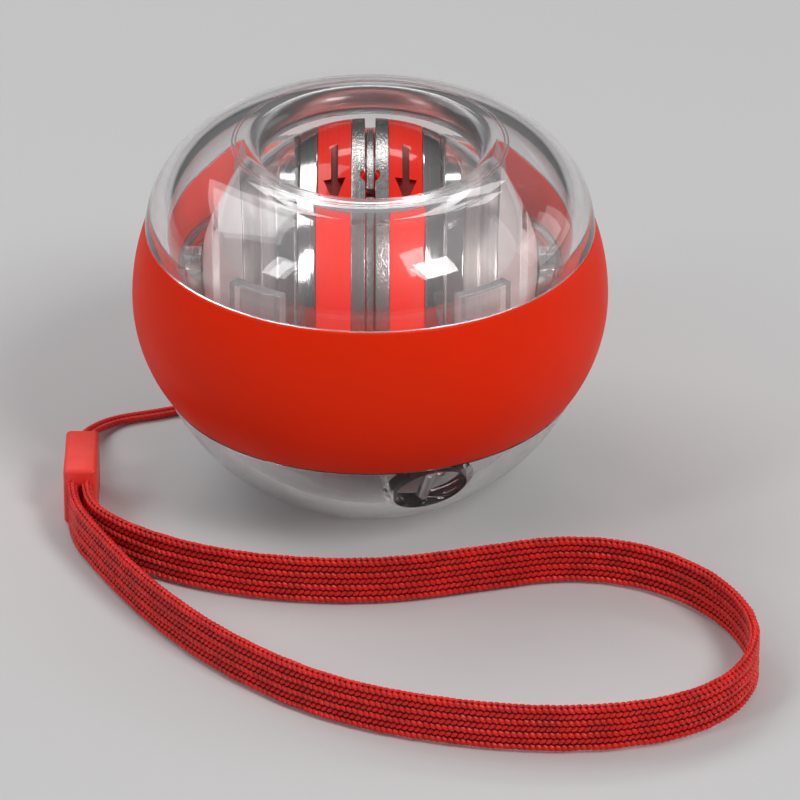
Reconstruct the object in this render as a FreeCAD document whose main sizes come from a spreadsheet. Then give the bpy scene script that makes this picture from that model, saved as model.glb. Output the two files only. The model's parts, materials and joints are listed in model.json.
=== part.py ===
import FreeCAD, Part
import math
import os
import Sketcher

# A gyroscopic wrist ball with a spring start. Two clear shells, held together by a bulged
# grip band, carry a track ring that turns about Z in a race at the ball's equator. The ring
# carries the axle of a round rotor along X. Heights are written from the equator, and every
# piece of the ball is then lifted so that the ball's foot stands at Z = 0. Lengths are in mm.

SIZES = (
    # shells and band
    ("ball_radius", 35.0, "widest radius, over the grip band"),
    ("foot_radius", 12.7, "flat that the ball stands on"),
    ("shell_drop", 1.5, "lower shell's sphere, in from the widest radius"),
    ("shoulder_drop", 2.0, "upper shell's wall, in from the widest radius"),
    ("band_depth", 3.0, "step of both shells under the band"),
    ("band_top", 11.2, "band's upper edge above the equator"),
    ("band_bottom", 13.3, "band's lower edge below the equator"),
    ("band_ledge", 0.95, "ledge of the lower shell at the band's edge"),
    ("band_seat_low", 5.0, "end of the band's straight seat below the equator"),
    ("band_gap", 0.05, "band's clearance on the shells"),
    ("mouth_radius", 16.0, "opening in which the thumb reaches the rotor"),
    ("mouth_rise", 4.0, "rim of the mouth, above the room in which the rotor swings"),
    ("lip_width", 2.4, "round lip from the opening out to the top of the rim"),
    ("swing_gap", 0.7, "room between rotor and shell"),
    ("shoulder_wall", 3.4, "wall of the upper shell"),
    ("lower_wall", 2.5, "wall of the lower shell"),
    ("floor_wall", 2.5, "floor of the lower shell"),
    # race and track ring
    ("race_wall", 1.1, "wall behind the race"),
    ("race_depth", 2.9, "depth of the race"),
    ("race_half", 1.2, "half the height of the race"),
    ("race_shoulder", 4.0, "height of the shoulders that hold the race"),
    ("ring_gap", 0.3, "track ring's room inside the shoulders"),
    ("ring_wall", 1.0, "track ring's collar"),
    ("ring_half", 1.0, "half the track ring's flange"),
    ("ring_collar", 2.5, "half the track ring's collar"),
    ("ring_edge_gap", 0.5, "flange's room in the race"),
    ("hub_radius", 6.5, "round bearing hubs of the track ring"),
    ("lug_foot", 4.4, "height at which the guard lugs widen"),
    ("lug_top", 13.0, "top of the guard lugs"),
    ("lug_gap", 1.2, "guard lugs inside the shell wall"),
    ("notch_half", 1.3, "half the notch for an axle tip"),
    # axle and bearings
    ("axle_radius", 1.5, "axle"),
    ("tip_radius", 1.1, "axle tips that roll in the race"),
    ("tip_gap", 0.3, "axle tip's room in the race"),
    ("tip_chamfer", 0.2, "chamfer of the tips"),
    ("bush_gap", 0.05, "running clearance of the bushes"),
    ("bush_wall", 0.95, "wall of the bushes"),
    ("end_play", 0.5, "room between rotor and track ring"),
    ("end_gap", 0.05, "circlip's room on each side"),
    ("circlip_radius", 2.6, "circlip"),
    ("bearing_radius", 4.0, "outside of the ball bearings"),
    ("bearing_width", 4.0, "width of the ball bearings"),
    ("race_ring_wall", 0.5, "rings of the ball bearings"),
    ("ball_gap", 0.05, "ball's clearance in the bearing"),
    # rotor
    ("rotor_gap", 1.1, "room between rotor and track ring's collar"),
    ("rotor_flat", 1.2, "rotor's flat ends, in from its sphere"),
    ("groove_ring_half", 2.7, "half the middle ring"),
    ("groove_half", 0.75, "half the starting groove"),
    ("groove_depth", 1.4, "starting groove"),
    ("groove_ring_wall", 4.6, "middle ring from its rim to its bore"),
    ("red_width", 4.9, "coloured band"),
    ("steel_width", 2.7, "rim of the flywheel ring"),
    ("step_width", 2.5, "flywheel ring's step under the cover"),
    ("weight_width", 4.6, "weight ring"),
    ("weight_rim", 2.1, "wider part of the weight ring, beside the flywheel ring"),
    ("core_bore", 2.4, "core's clear bore round the axle"),
    ("cover_wall", 1.6, "wall of the clear rotor covers"),
    ("cover_opening", 12.1, "opening in the clear rotor covers"),
    ("fit_gap", 0.1, "clearance of seated rotor pieces"),
    ("pin_radius", 0.9, "pins that key the rotor together"),
    ("arrow_length", 12.4, "recessed direction arrow"),
    ("arrow_shaft", 1.0, "width of the arrow's shaft"),
    ("arrow_head", 3.2, "width of the arrow's head"),
    ("arrow_barb", 4.7, "length of the arrow's head"),
    ("arrow_depth", 0.7, "depth of the arrow"),
    ("start_hole", 1.5, "radius of the starting hole"),
    ("start_notch", 1.5, "notch in front of the starting hole"),
    # spring start
    ("chamber_radius", 10.6, "spring chamber in the core"),
    ("core_wall", 1.4, "rotor's core round the spring chamber"),
    ("chamber_end", 4.0, "chamber's inner end from the middle"),
    ("spring_cover_wall", 1.5, "cover of the spring chamber"),
    ("arbor_radius", 4.6, "spring arbor"),
    ("arbor_wall", 1.3, "wall of the spring arbor"),
    ("arbor_gap", 0.3, "arbor's room at its ends"),
    ("clutch_wall", 0.5, "cup of the one-way clutch"),
    ("clutch_gap", 0.05, "clearance in the one-way clutch"),
    ("roller_radius", 0.55, "rollers of the one-way clutch"),
    ("clutch_end_gap", 1.6, "clutch inside the arbor's ends"),
    ("strip_thick", 0.3, "spring strip"),
    ("strip_pitch", 0.76, "spacing of the spring's turns"),
    ("strip_side_gap", 0.6, "spring strip's room at its sides"),
    ("strip_start_gap", 0.12, "spring strip's first turn from the arbor"),
    # lanyard eyes in the lower shell
    ("eye_radius", 5.5, "recess of a lanyard eye"),
    ("eye_band_gap", 0.853, "from the band's lower edge to the recess"),
    ("eye_wall", 1.0, "wall of the recess"),
    ("eye_depth", 5.5, "depth of the recess"),
    ("eye_bar_radius", 0.9, "bar that holds the cord"),
    ("eye_bar_depth", 1.9, "bar's depth below the shell's sphere"),
    ("eye_rib_wall", 0.6, "ribs in the recess"),
    ("eye_rib_height", 1.4, "height of the ribs"),
    ("eye_pin_radius", 1.1, "stud in the middle of the recess"),
    # wrist strap
    ("strap_width", 7.8, "flat braided strap"),
    ("strap_thick", 1.6, "flat braided strap"),
    ("strap_lift", 0.1, "strap's lower edge above the table"),
    ("cord_radius", 0.5, "thin loop cord"),
    ("clamp_width", 4.9, "clamp that joins strap and cord"),
    ("clamp_length", 12.3, "clamp"),
    ("clamp_height", 9.2, "clamp"),
    ("clamp_round", 0.7, "rounded edges of the clamp"),
    ("clamp_across", -42.65, "clamp's place along X"),
    ("clamp_front", -14.8, "clamp's front face along Y"),
    # shared
    ("overrun", 4.0, "how far a cutting tool passes the faces that it cuts"),
)

EYE_AZIMUTH = 18.6
EYE_RIBS = 4
LUG_ANGLES = (55.5, 124.5, 235.5, 304.5)
LUG_SPREAD = 17.0
ARROW_ANGLE = 72.6
START_ANGLE = 70.0
REPEATS = 2
PIN_COUNT = 3
PIN_ANGLE = 30
BEARING_BALLS = 7
CLUTCH_ROLLERS = 6

# The strap leaves the clamp's front, lies on its edge round a long loop and comes back.
STRAP_ROUTE = (
    (-41.6, -14.8), (-41.6, -19.8), (-37.0, -26.0), (-27.5, -32.6), (-14.0, -37.0),
    (2.0, -37.8), (16.5, -33.9), (29.0, -30.6), (41.0, -33.6), (50.8, -42.2),
    (56.0, -55.0), (53.0, -67.5), (43.0, -75.2), (27.5, -78.2), (10.0, -75.8),
    (-6.5, -69.6), (-20.5, -57.8), (-31.5, -43.8), (-39.5, -29.0), (-43.7, -19.9),
    (-43.7, -14.8),
)

# The thin cord runs from the clamp's back to the far lanyard eye, round its bar and back.
CORD_ROUTE = (
    (-43.3, -2.5, 4.6), (-43.4, 4.0, 3.8), (-42.6, 10.8, 1.6), (-39.0, 16.1, 0.55),
    (-31.9, 18.2, 0.55), (-24.5, 21.1, 0.55), (-19.3, 26.6, 0.55), (-15.0, 30.4, 1.6),
    (-12.3, 30.9, 5.8), (-10.3, 26.7, 11.5), (-9.4, 23.0, 14.09),
    (-6.4, 24.0, 14.09), (-8.0, 27.5, 11.5), (-10.9, 31.1, 5.8), (-13.8, 30.0, 1.6),
    (-18.3, 25.8, 0.55), (-23.9, 20.1, 0.55), (-31.7, 17.0, 0.55), (-38.2, 15.1, 0.55),
    (-41.4, 10.4, 1.6), (-42.2, 4.0, 3.8), (-42.0, -2.5, 4.6),
)

CORNER_SHARE = 0.45


class Measure:
    # a number together with the formula that binds it to the sheet's cells
    def __init__(self, number, formula):
        self.number = number
        self.formula = formula

    def __add__(self, other):
        other = measure(other)
        return Measure(self.number + other.number, f"({self.formula} + {other.formula})")

    def __sub__(self, other):
        other = measure(other)
        return Measure(self.number - other.number, f"({self.formula} - {other.formula})")

    def __mul__(self, other):
        other = measure(other)
        return Measure(self.number * other.number, f"({self.formula} * {other.formula})")

    def __truediv__(self, other):
        other = measure(other)
        return Measure(self.number / other.number, f"({self.formula} / {other.formula})")

    def __neg__(self):
        return Measure(-self.number, f"(-1 * {self.formula})")

    __radd__ = __add__
    __rmul__ = __mul__

    def __float__(self):
        return float(self.number)


def measure(value):
    if isinstance(value, Measure):
        return value
    return Measure(float(value), f"({value:.12g})")


def root(square):
    return Measure(math.sqrt(square.number), f"sqrt({square.formula})")


def leg(radius, other):
    # the other leg of the right triangle on a circle's radius
    return root(radius * radius - other * other)


def bulge(height, drop):
    # radius of the arc that falls by drop over height, upright where it starts
    return (height * height + drop * drop) / (drop * 2)


doc = FreeCAD.newDocument("gyroscopic_wrist_ball")
sheet = doc.addObject("Spreadsheet::Sheet", "Sizes")


class Sizes:
    pass


s = Sizes()
for row, (alias, number, note) in enumerate(SIZES, start=1):
    sheet.set(f"A{row}", note)
    sheet.set(f"B{row}", str(number))
    sheet.setAlias(f"B{row}", alias)
    setattr(s, alias, Measure(number, f"Sizes.{alias}"))
doc.recompute()

# shells
lower_radius = s.ball_radius - s.shell_drop
equator_height = leg(lower_radius, s.foot_radius)
seat_radius = s.ball_radius - s.band_depth
wall_radius = s.ball_radius - s.shoulder_drop
inner_radius = wall_radius - s.shoulder_wall
inner_sphere = lower_radius - s.lower_wall
ledge_low = leg(lower_radius, s.band_bottom)

# race and track ring
race_radius = seat_radius - s.race_wall
shoulder_bore = race_radius - s.race_depth
collar_outer = shoulder_bore - s.ring_gap
collar_inner = collar_outer - s.ring_wall
flange_radius = race_radius - s.ring_edge_gap

# rotor, outwards from its middle along X
rotor_radius = collar_inner - s.rotor_gap
core_radius = s.chamber_radius + s.core_wall
rotor_end = rotor_radius - s.rotor_flat
red_end = s.groove_ring_half + s.red_width
steel_end = red_end + s.steel_width
step_end = steel_end + s.step_width
weight_end = step_end + s.weight_width
weight_step = step_end + s.weight_rim
cover_inner = rotor_radius - s.cover_wall
cap_sphere = cover_inner - s.fit_gap
pin_circle = (core_radius + leg(cap_sphere, weight_end)) / 2
web_radius = rotor_radius - s.groove_ring_wall
bearing_start = rotor_end - s.bearing_width
hub_face = rotor_end + s.end_play
bush_radius = s.axle_radius + s.bush_gap + s.bush_wall
tip_end = race_radius - s.tip_gap
clutch_cup_inner = s.axle_radius + s.clutch_gap * 2 + s.roller_radius * 2

# mouth, which lies just over the rotor, and the shoulder round it
swing_radius = rotor_radius + s.swing_gap
lip_radius = s.mouth_radius + s.lip_width
lip_height = leg(swing_radius, s.mouth_radius) + s.mouth_rise
shoulder_radius = wall_radius - lip_radius
shoulder_height = lip_height - shoulder_radius
inner_shoulder = shoulder_radius - s.shoulder_wall
ledge_top = lip_radius + leg(shoulder_radius, s.band_top - shoulder_height)
clutch_cup_outer = clutch_cup_inner + s.clutch_wall


def plane(body, role):
    for feature in body.Origin.OriginFeatures:
        if feature.Role == role:
            return feature
    raise ValueError(role)


def arc_edge(start, end, radius, left):
    # an arc of under a half circle, with its centre on the left or right of its way
    middle = (start + end) * 0.5
    chord = end - start
    side = FreeCAD.Vector(-chord.y, chord.x, 0).normalize()
    rise = math.sqrt(max(radius ** 2 - (chord.Length / 2) ** 2, 0))
    centre = middle + side * (rise if left else -rise)
    first, last = (start, end) if left else (end, start)
    angle = math.atan2(first.y - centre.y, first.x - centre.x)
    angle_end = math.atan2(last.y - centre.y, last.x - centre.x)
    circle = Part.Circle(centre, FreeCAD.Vector(0, 0, 1), radius)
    return Part.ArcOfCircle(circle, angle, angle_end)


def bind(sketch, constraint, formula):
    index = sketch.addConstraint(constraint)
    sketch.setExpression(f"Constraints[{index}]", formula)


def pin_point(sketch, edge, end, along, up):
    # hold one end of an edge, or a circle's centre, at its two measures
    if along.number == 0:
        sketch.addConstraint(Sketcher.Constraint("PointOnObject", edge, end, -2))
    else:
        bind(sketch, Sketcher.Constraint("DistanceX", -1, 1, edge, end, along.number), along.formula)
    if up.number == 0:
        sketch.addConstraint(Sketcher.Constraint("PointOnObject", edge, end, -1))
    else:
        bind(sketch, Sketcher.Constraint("DistanceY", -1, 1, edge, end, up.number), up.formula)


def draw_loop(sketch, loop):
    # each corner is (along, up) before a line, or (along, up, radius, side) before an arc
    corners = [tuple(measure(value) for value in corner[:3]) + tuple(corner[3:]) for corner in loop]
    places = [FreeCAD.Vector(corner[0].number, corner[1].number, 0) for corner in corners]
    ends = []
    for index, corner in enumerate(corners):
        start = places[index]
        end = places[(index + 1) % len(corners)]
        if len(corner) == 2:
            edge = sketch.addGeometry(Part.LineSegment(start, end))
            ends.append((edge, 1, 2))
        else:
            left = corner[3] == "left"
            edge = sketch.addGeometry(arc_edge(start, end, corner[2].number, left))
            ends.append((edge, 1, 2) if left else (edge, 2, 1))
    for index, corner in enumerate(corners):
        edge, first, last = ends[index]
        following = ends[(index + 1) % len(corners)]
        sketch.addConstraint(Sketcher.Constraint("Coincident", edge, last, following[0], following[1]))
        pin_point(sketch, edge, first, corner[0], corner[1])
        if len(corner) == 4:
            bind(sketch, Sketcher.Constraint("Radius", edge, corner[2].number), corner[2].formula)


def draw_circle(sketch, along, up, radius):
    centre = FreeCAD.Vector(along.number, up.number, 0)
    edge = sketch.addGeometry(Part.Circle(centre, FreeCAD.Vector(0, 0, 1), radius.number))
    pin_point(sketch, edge, 3, along, up)
    bind(sketch, Sketcher.Constraint("Radius", edge, radius.number), radius.formula)


def new_sketch(body, name, role):
    sketch = body.newObject("Sketcher::SketchObject", name)
    sketch.AttachmentSupport = (plane(body, role), [""])
    sketch.MapMode = "FlatFace"
    return sketch


def sided(loop, side):
    # the same outline on the other side of the middle
    if side > 0:
        return loop
    other = {"left": "right", "right": "left"}
    flipped = []
    for corner in loop:
        place = (-measure(corner[0]), corner[1])
        flipped.append(place if len(corner) == 2 else place + (corner[2], other[corner[3]]))
    return flipped


def lift(piece):
    piece.setExpression("Placement.Base.z", equator_height.formula)


def turned(label, axis, *loops):
    # a body turned from outlines in the XZ plane about the X or Z axis
    body = doc.addObject("PartDesign::Body", label)
    sketch = new_sketch(body, label + "_outline", "XZ_Plane")
    for loop in loops:
        draw_loop(sketch, loop)
    turn = body.newObject("PartDesign::Revolution", label + "_turn")
    turn.Profile = sketch
    turn.ReferenceAxis = (sketch, [{"X": "H_Axis", "Z": "V_Axis"}[axis]])
    turn.Angle = 360
    body.Tip = turn
    lift(body)
    return body


def drill(body, circles):
    # round holes right through a body along X
    sketch = new_sketch(body, body.Name + "_holes", "YZ_Plane")
    for along, up, radius in circles:
        draw_circle(sketch, along, up, radius)
    pocket = body.newObject("PartDesign::Pocket", body.Name + "_drilled")
    pocket.Profile = sketch
    pocket.Type = "ThroughAll"
    pocket.Midplane = True
    body.Tip = pocket


def cylinder(name, radius, height, base, direction):
    tool = doc.addObject("Part::Cylinder", name)
    tool.setExpression("Radius", radius.formula)
    tool.setExpression("Height", height.formula)
    tool.Placement = FreeCAD.Placement(base, FreeCAD.Rotation(FreeCAD.Vector(0, 0, 1), direction))
    return tool


def box(name, length, width, height, corner, turn=None):
    # a box whose corner is given in its own turned axes, from the ball's centre
    tool = doc.addObject("Part::Box", name)
    tool.setExpression("Length", length.formula)
    tool.setExpression("Width", width.formula)
    tool.setExpression("Height", height.formula)
    rotation = turn or FreeCAD.Rotation()
    place = FreeCAD.Vector(*[float(value) for value in corner])
    tool.Placement = FreeCAD.Placement(centre + rotation.multVec(place), rotation)
    return tool


def joined(name, pieces):
    fuse = doc.addObject("Part::MultiFuse", name)
    fuse.Shapes = pieces
    return fuse


def cut(name, base, tools):
    result = doc.addObject("Part::Cut", name)
    result.Base = base
    result.Tool = tools[0] if len(tools) == 1 else joined(name + "_tools", tools)
    return result


centre = FreeCAD.Vector(0, 0, float(equator_height))
nodes = {}


def name_node(label, piece):
    piece.Label = label
    nodes[label] = piece


# Upper shell: a clear wall, a round shoulder and the thick round lip of the mouth

def make_upper_shell():
    body = turned("upper_shell", "Z", [
        (seat_radius, s.race_half),
        (seat_radius, s.band_top),
        (ledge_top, s.band_top, shoulder_radius, "left"),
        (lip_radius, lip_height, s.lip_width, "left"),
        (s.mouth_radius, lip_height - s.lip_width),
        (s.mouth_radius, shoulder_height + leg(inner_shoulder, s.lip_width), inner_shoulder, "right"),
        (inner_radius, shoulder_height),
        (inner_radius, s.race_shoulder),
        (shoulder_bore, s.race_shoulder),
        (shoulder_bore, s.race_half),
    ])
    name_node("upper_shell", body)


# Lower shell: a clear cup with a flat foot, the race's lower face and two lanyard eyes

def eye_parts(number):
    azimuth = math.radians(EYE_AZIMUTH + 180 * number)
    shares = float(s.band_bottom / lower_radius), float(s.eye_radius / lower_radius)
    elevation = -sum(math.asin(share) for share in shares) - float(s.eye_band_gap / lower_radius)
    level = math.cos(elevation)
    outward = FreeCAD.Vector(level * math.sin(azimuth), -level * math.cos(azimuth), math.sin(elevation))
    upright = FreeCAD.Vector(-math.sin(elevation) * math.sin(azimuth),
                             math.sin(elevation) * math.cos(azimuth), level)
    floor = lower_radius - s.eye_depth
    name = f"eye_{number}"
    cup_radius = s.eye_radius + s.eye_wall
    cup_start = floor - s.eye_wall
    cup_end = leg(inner_sphere, cup_radius) + s.lower_wall / 4
    cup = cylinder(name + "_cup", cup_radius, cup_end - cup_start,
                   centre + outward * float(cup_start), outward)
    recess = cylinder(name + "_recess", s.eye_radius, s.eye_depth + s.overrun,
                      centre + outward * float(floor), outward)
    bar_place = centre + outward * float(lower_radius - s.eye_bar_depth)
    reach = s.eye_radius + s.eye_wall / 2
    bar = cylinder(name + "_bar", s.eye_bar_radius, reach * 2,
                   bar_place - upright * float(reach), upright)
    inside = [bar]
    stud_height = s.eye_rib_height + s.eye_wall / 2
    stud_place = centre + outward * float(floor - s.eye_wall / 2)
    inside.append(cylinder(name + "_stud", s.eye_pin_radius, stud_height, stud_place, outward))
    across = upright.cross(outward)
    turn = FreeCAD.Rotation(across, upright, outward, "ZXY")
    for rib_number in range(EYE_RIBS):
        spin = FreeCAD.Rotation(FreeCAD.Vector(0, 0, 1), 360 * (rib_number + 0.5) / EYE_RIBS)
        inside.append(box(f"{name}_rib_{rib_number}", reach, s.eye_rib_wall, stud_height,
                          (0, -s.eye_rib_wall / 2, floor - s.eye_wall / 2), turn * spin))
    return cup, recess, inside


def make_lower_shell():
    body = turned("lower_shell_wall", "Z", [
        (0, -equator_height),
        (s.foot_radius, -equator_height, lower_radius, "left"),
        (ledge_low, -s.band_bottom),
        (ledge_low - s.band_ledge, -s.band_bottom),
        (seat_radius, -s.band_seat_low),
        (seat_radius, s.race_half),
        (race_radius, s.race_half),
        (race_radius, -s.race_half),
        (shoulder_bore, -s.race_half),
        (shoulder_bore, -s.race_shoulder),
        (inner_radius, -s.race_shoulder),
        (inner_radius, -leg(inner_sphere, inner_radius), inner_sphere, "right"),
        (leg(inner_sphere, equator_height - s.floor_wall), s.floor_wall - equator_height),
        (0, s.floor_wall - equator_height),
    ])
    cups, recesses, insides = [], [], []
    for number in range(2):
        cup, recess, inside = eye_parts(number)
        cups.append(cup)
        recesses.append(recess)
        insides.extend(inside)
    open_shell = cut("lower_shell_recessed", joined("lower_shell_cups", [body] + cups), recesses)
    name_node("lower_shell", joined("lower_shell", [open_shell] + insides))


# Grip band: bulged outside, and seated in the step of both shells

def make_grip_band():
    top = s.band_top - s.band_gap
    low = s.band_bottom - s.band_gap
    seat = seat_radius + s.band_gap
    body = turned("grip_band", "Z", [
        (ledge_low, -low, bulge(low, s.ball_radius - ledge_low), "left"),
        (s.ball_radius, 0, bulge(top, s.ball_radius - ledge_top), "left"),
        (ledge_top, top),
        (seat, top),
        (seat, -s.band_seat_low),
        (ledge_low - s.band_ledge + s.band_gap, -low),
    ])
    name_node("grip_band", body)


# Track ring: a flange that runs in the race, two bearing hubs and four upright guard lugs

def lug_outline(angle):
    sketch = doc.addObject("Sketcher::SketchObject", f"lug_outline_{angle:.0f}")
    lug_outer = inner_radius - s.lug_gap
    draw_loop(sketch, [
        (collar_inner, s.ring_half),
        (collar_outer, s.ring_half),
        (collar_outer, s.lug_foot),
        (lug_outer, s.lug_foot),
        (lug_outer, s.lug_top),
        (collar_inner, s.lug_top),
    ])
    sketch.Placement = FreeCAD.Placement(centre, FreeCAD.Rotation(FreeCAD.Vector(1, 0, 0), 90))
    return sketch


def make_track_ring():
    flange = turned("track_ring_flange", "Z", [
        (collar_inner, -s.ring_collar),
        (collar_outer, -s.ring_collar),
        (collar_outer, -s.ring_half),
        (flange_radius, -s.ring_half),
        (flange_radius, s.ring_half),
        (collar_outer, s.ring_half),
        (collar_outer, s.ring_collar),
        (collar_inner, s.ring_collar),
    ])
    pieces = [flange]
    for angle in LUG_ANGLES:
        lug = doc.addObject("Part::Revolution", f"guard_lug_{angle:.0f}")
        lug.Source = lug_outline(angle)
        lug.Base = FreeCAD.Vector(0, 0, 0)
        lug.Axis = FreeCAD.Vector(0, 0, 1)
        lug.Angle = LUG_SPREAD
        lug.Symmetric = True
        lug.Solid = True
        lug.Placement = FreeCAD.Placement(FreeCAD.Vector(), FreeCAD.Rotation(FreeCAD.Vector(0, 0, 1), angle))
        pieces.append(lug)
    bores = []
    for side, hand in ((-1, "left"), (1, "right")):
        along = FreeCAD.Vector(side, 0, 0)
        disc = cylinder(f"hub_disc_{hand}", s.hub_radius, s.overrun * 2,
                        centre + along * float(hub_face), along)
        rim = cylinder(f"hub_rim_{hand}", collar_outer, s.hub_radius * 2 + s.overrun,
                       centre - FreeCAD.Vector(0, 0, float(s.hub_radius + s.overrun / 2)),
                       FreeCAD.Vector(0, 0, 1))
        hub = doc.addObject("Part::Common", f"bearing_hub_{hand}")
        hub.Base = disc
        hub.Tool = rim
        pieces.append(hub)
        bores.append(cylinder(f"hub_bore_{hand}", bush_radius, s.overrun * 2,
                              centre + along * float(hub_face - s.overrun), along))
        corner = (collar_outer - s.bush_gap, -s.notch_half, -s.notch_half)
        if side < 0:
            corner = (-collar_outer + s.bush_gap - s.overrun, -s.notch_half, -s.notch_half)
        bores.append(box(f"tip_notch_{hand}", s.overrun, s.notch_half * 2, s.notch_half * 2, corner))
    name_node("track_ring", cut("track_ring", joined("track_ring_blank", pieces), bores))


# Axle with its bushes, circlips and the inner rings of the two ball bearings

def ring_outline(start, end, inner, outer):
    return [(start, inner), (end, inner), (end, outer), (start, outer)]


def make_axle():
    tip_start = collar_outer - s.tip_chamfer
    body = turned("axle", "X", [
        (-tip_end, 0),
        (tip_end, 0),
        (tip_end, s.tip_radius - s.tip_chamfer),
        (tip_end - s.tip_chamfer, s.tip_radius),
        (tip_start, s.tip_radius),
        (tip_start, s.axle_radius),
        (-tip_start, s.axle_radius),
        (-tip_start, s.tip_radius),
        (s.tip_chamfer - tip_end, s.tip_radius),
        (-tip_end, s.tip_radius - s.tip_chamfer),
    ])
    name_node("axle", body)


def make_axle_fittings(side, hand):
    bush = ring_outline(hub_face, collar_outer - s.bush_gap, s.axle_radius + s.bush_gap, bush_radius)
    circlip = ring_outline(rotor_end + s.end_gap, hub_face - s.end_gap, s.axle_radius, s.circlip_radius)
    inner_ring = ring_outline(bearing_start, rotor_end, s.axle_radius, s.axle_radius + s.race_ring_wall)
    for label, outline in (("axle_bush_", bush), ("circlip_", circlip), ("bearing_inner_", inner_ring)):
        name_node(label + hand, turned(label + hand, "X", sided(outline, side)))


# Rotor, made of turned pieces that seat on each other along X

def make_rotor_side(side, hand):
    rim = leg(rotor_radius, s.groove_ring_half)
    step_radius = leg(cap_sphere, step_end)
    opening_x = leg(rotor_radius, s.cover_opening)
    opening_inner_x = leg(cover_inner, s.cover_opening)
    boss_radius = s.cover_opening - s.fit_gap
    red = [
        (s.groove_ring_half, core_radius),
        (red_end, core_radius),
        (red_end, leg(rotor_radius, red_end), rotor_radius, "left"),
        (s.groove_ring_half, rim),
    ]
    flywheel = [
        (red_end, core_radius),
        (step_end, core_radius),
        (step_end, step_radius),
        (steel_end, step_radius),
        (steel_end, leg(rotor_radius, steel_end), rotor_radius, "left"),
        (red_end, leg(rotor_radius, red_end)),
    ]
    weight = [
        (step_end, core_radius),
        (weight_end, core_radius),
        (weight_end, leg(cap_sphere, weight_end)),
        (weight_step, leg(cap_sphere, weight_end)),
        (weight_step, leg(cap_sphere, weight_step)),
        (step_end, leg(cap_sphere, weight_step)),
    ]
    cover = [
        (steel_end, leg(cover_inner, steel_end), cover_inner, "right"),
        (opening_inner_x, s.cover_opening),
        (opening_x, s.cover_opening, rotor_radius, "left"),
        (steel_end, leg(rotor_radius, steel_end)),
    ]
    cap = [
        (weight_end, s.core_bore),
        (bearing_start, s.core_bore),
        (bearing_start, s.bearing_radius),
        (rotor_end, s.bearing_radius),
        (rotor_end, leg(rotor_radius, rotor_end), rotor_radius, "left"),
        (leg(rotor_radius, boss_radius), boss_radius),
        (leg(cap_sphere, boss_radius), boss_radius, cap_sphere, "left"),
        (weight_end, leg(cap_sphere, weight_end)),
    ]
    outer_ring = ring_outline(bearing_start, rotor_end, s.bearing_radius - s.race_ring_wall, s.bearing_radius)
    outlines = (("red_band_", red), ("flywheel_ring_", flywheel), ("weight_ring_", weight),
                ("rotor_cover_", cover), ("end_cap_", cap), ("bearing_outer_", outer_ring))
    made = {}
    for label, outline in outlines:
        made[label] = turned(label + hand, "X", sided(outline, side))
    for label in ("red_band_", "flywheel_ring_", "weight_ring_"):
        drill(made[label], pin_circles(s.fit_gap / 2))
    made["red_band_"] = cut(f"red_band_{hand}_marked", made["red_band_"], arrow_tools(side, hand))
    for label, piece in made.items():
        name_node(label + hand, piece)


def pin_circles(gap):
    circles = []
    for number in range(PIN_COUNT):
        angle = PIN_ANGLE + 360 * number / PIN_COUNT
        across = pin_circle * Measure(math.cos(math.radians(angle)), f"cos({angle} deg)")
        up = pin_circle * Measure(math.sin(math.radians(angle)), f"sin({angle} deg)")
        circles.append((across, up, s.pin_radius + gap))
    return circles


def around_axle(angle):
    # turns the upright Z direction about X to an angle above the front
    return FreeCAD.Rotation(FreeCAD.Vector(1, 0, 0), 90 - angle)


def arrow_tools(side, hand):
    middle = float(s.groove_ring_half + s.red_width / 2) * side
    half_shaft = float(s.arrow_shaft) / 2
    half_head = float(s.arrow_head) / 2
    tail = float(s.arrow_length) / 2
    neck = float(s.arrow_barb) - tail
    floor = float(leg(rotor_radius, s.groove_ring_half + s.red_width / 2) - s.arrow_depth)
    outline = ((half_shaft, tail), (-half_shaft, tail), (-half_shaft, neck), (-half_head, neck),
               (0, -tail), (half_head, neck), (half_shaft, neck), (half_shaft, tail))
    points = [FreeCAD.Vector(middle + across, along, floor) for across, along in outline]
    prism = Part.Face(Part.makePolygon(points)).extrude(FreeCAD.Vector(0, 0, float(s.overrun)))
    tools = []
    for number in range(REPEATS):
        tool = doc.addObject("Part::Feature", f"arrow_{hand}_{number}")
        tool.Shape = prism
        turn = around_axle(ARROW_ANGLE + 360 * number / REPEATS)
        tool.Placement = FreeCAD.Placement(centre, turn)
        tools.append(tool)
    return tools


def make_groove_ring():
    rim = leg(rotor_radius, s.groove_ring_half)
    edge = leg(rotor_radius, s.groove_half)
    floor = edge - s.groove_depth
    body = turned("groove_ring_turned", "X", [
        (-s.groove_ring_half, web_radius),
        (s.groove_ring_half, web_radius),
        (s.groove_ring_half, rim, rotor_radius, "left"),
        (s.groove_half, edge),
        (s.groove_half, floor),
        (-s.groove_half, floor),
        (-s.groove_half, edge, rotor_radius, "left"),
        (-s.groove_ring_half, rim),
    ])
    tools = []
    for number in range(REPEATS):
        turn = around_axle(START_ANGLE + 360 * number / REPEATS)
        upward = turn.multVec(FreeCAD.Vector(0, 0, 1))
        start = float(floor - s.groove_depth)
        tools.append(cylinder(f"start_hole_{number}", s.start_hole, s.groove_depth * 2 + s.overrun,
                              centre + upward * start, upward))
        notch_reach = s.start_notch + s.start_hole
        corner = (-s.start_notch / 2, -notch_reach, floor - s.groove_depth)
        tools.append(box(f"start_notch_{number}", s.start_notch, notch_reach,
                         s.groove_depth * 2 + s.overrun, corner, turn))
    name_node("groove_ring", cut("groove_ring", body, tools))


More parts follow.
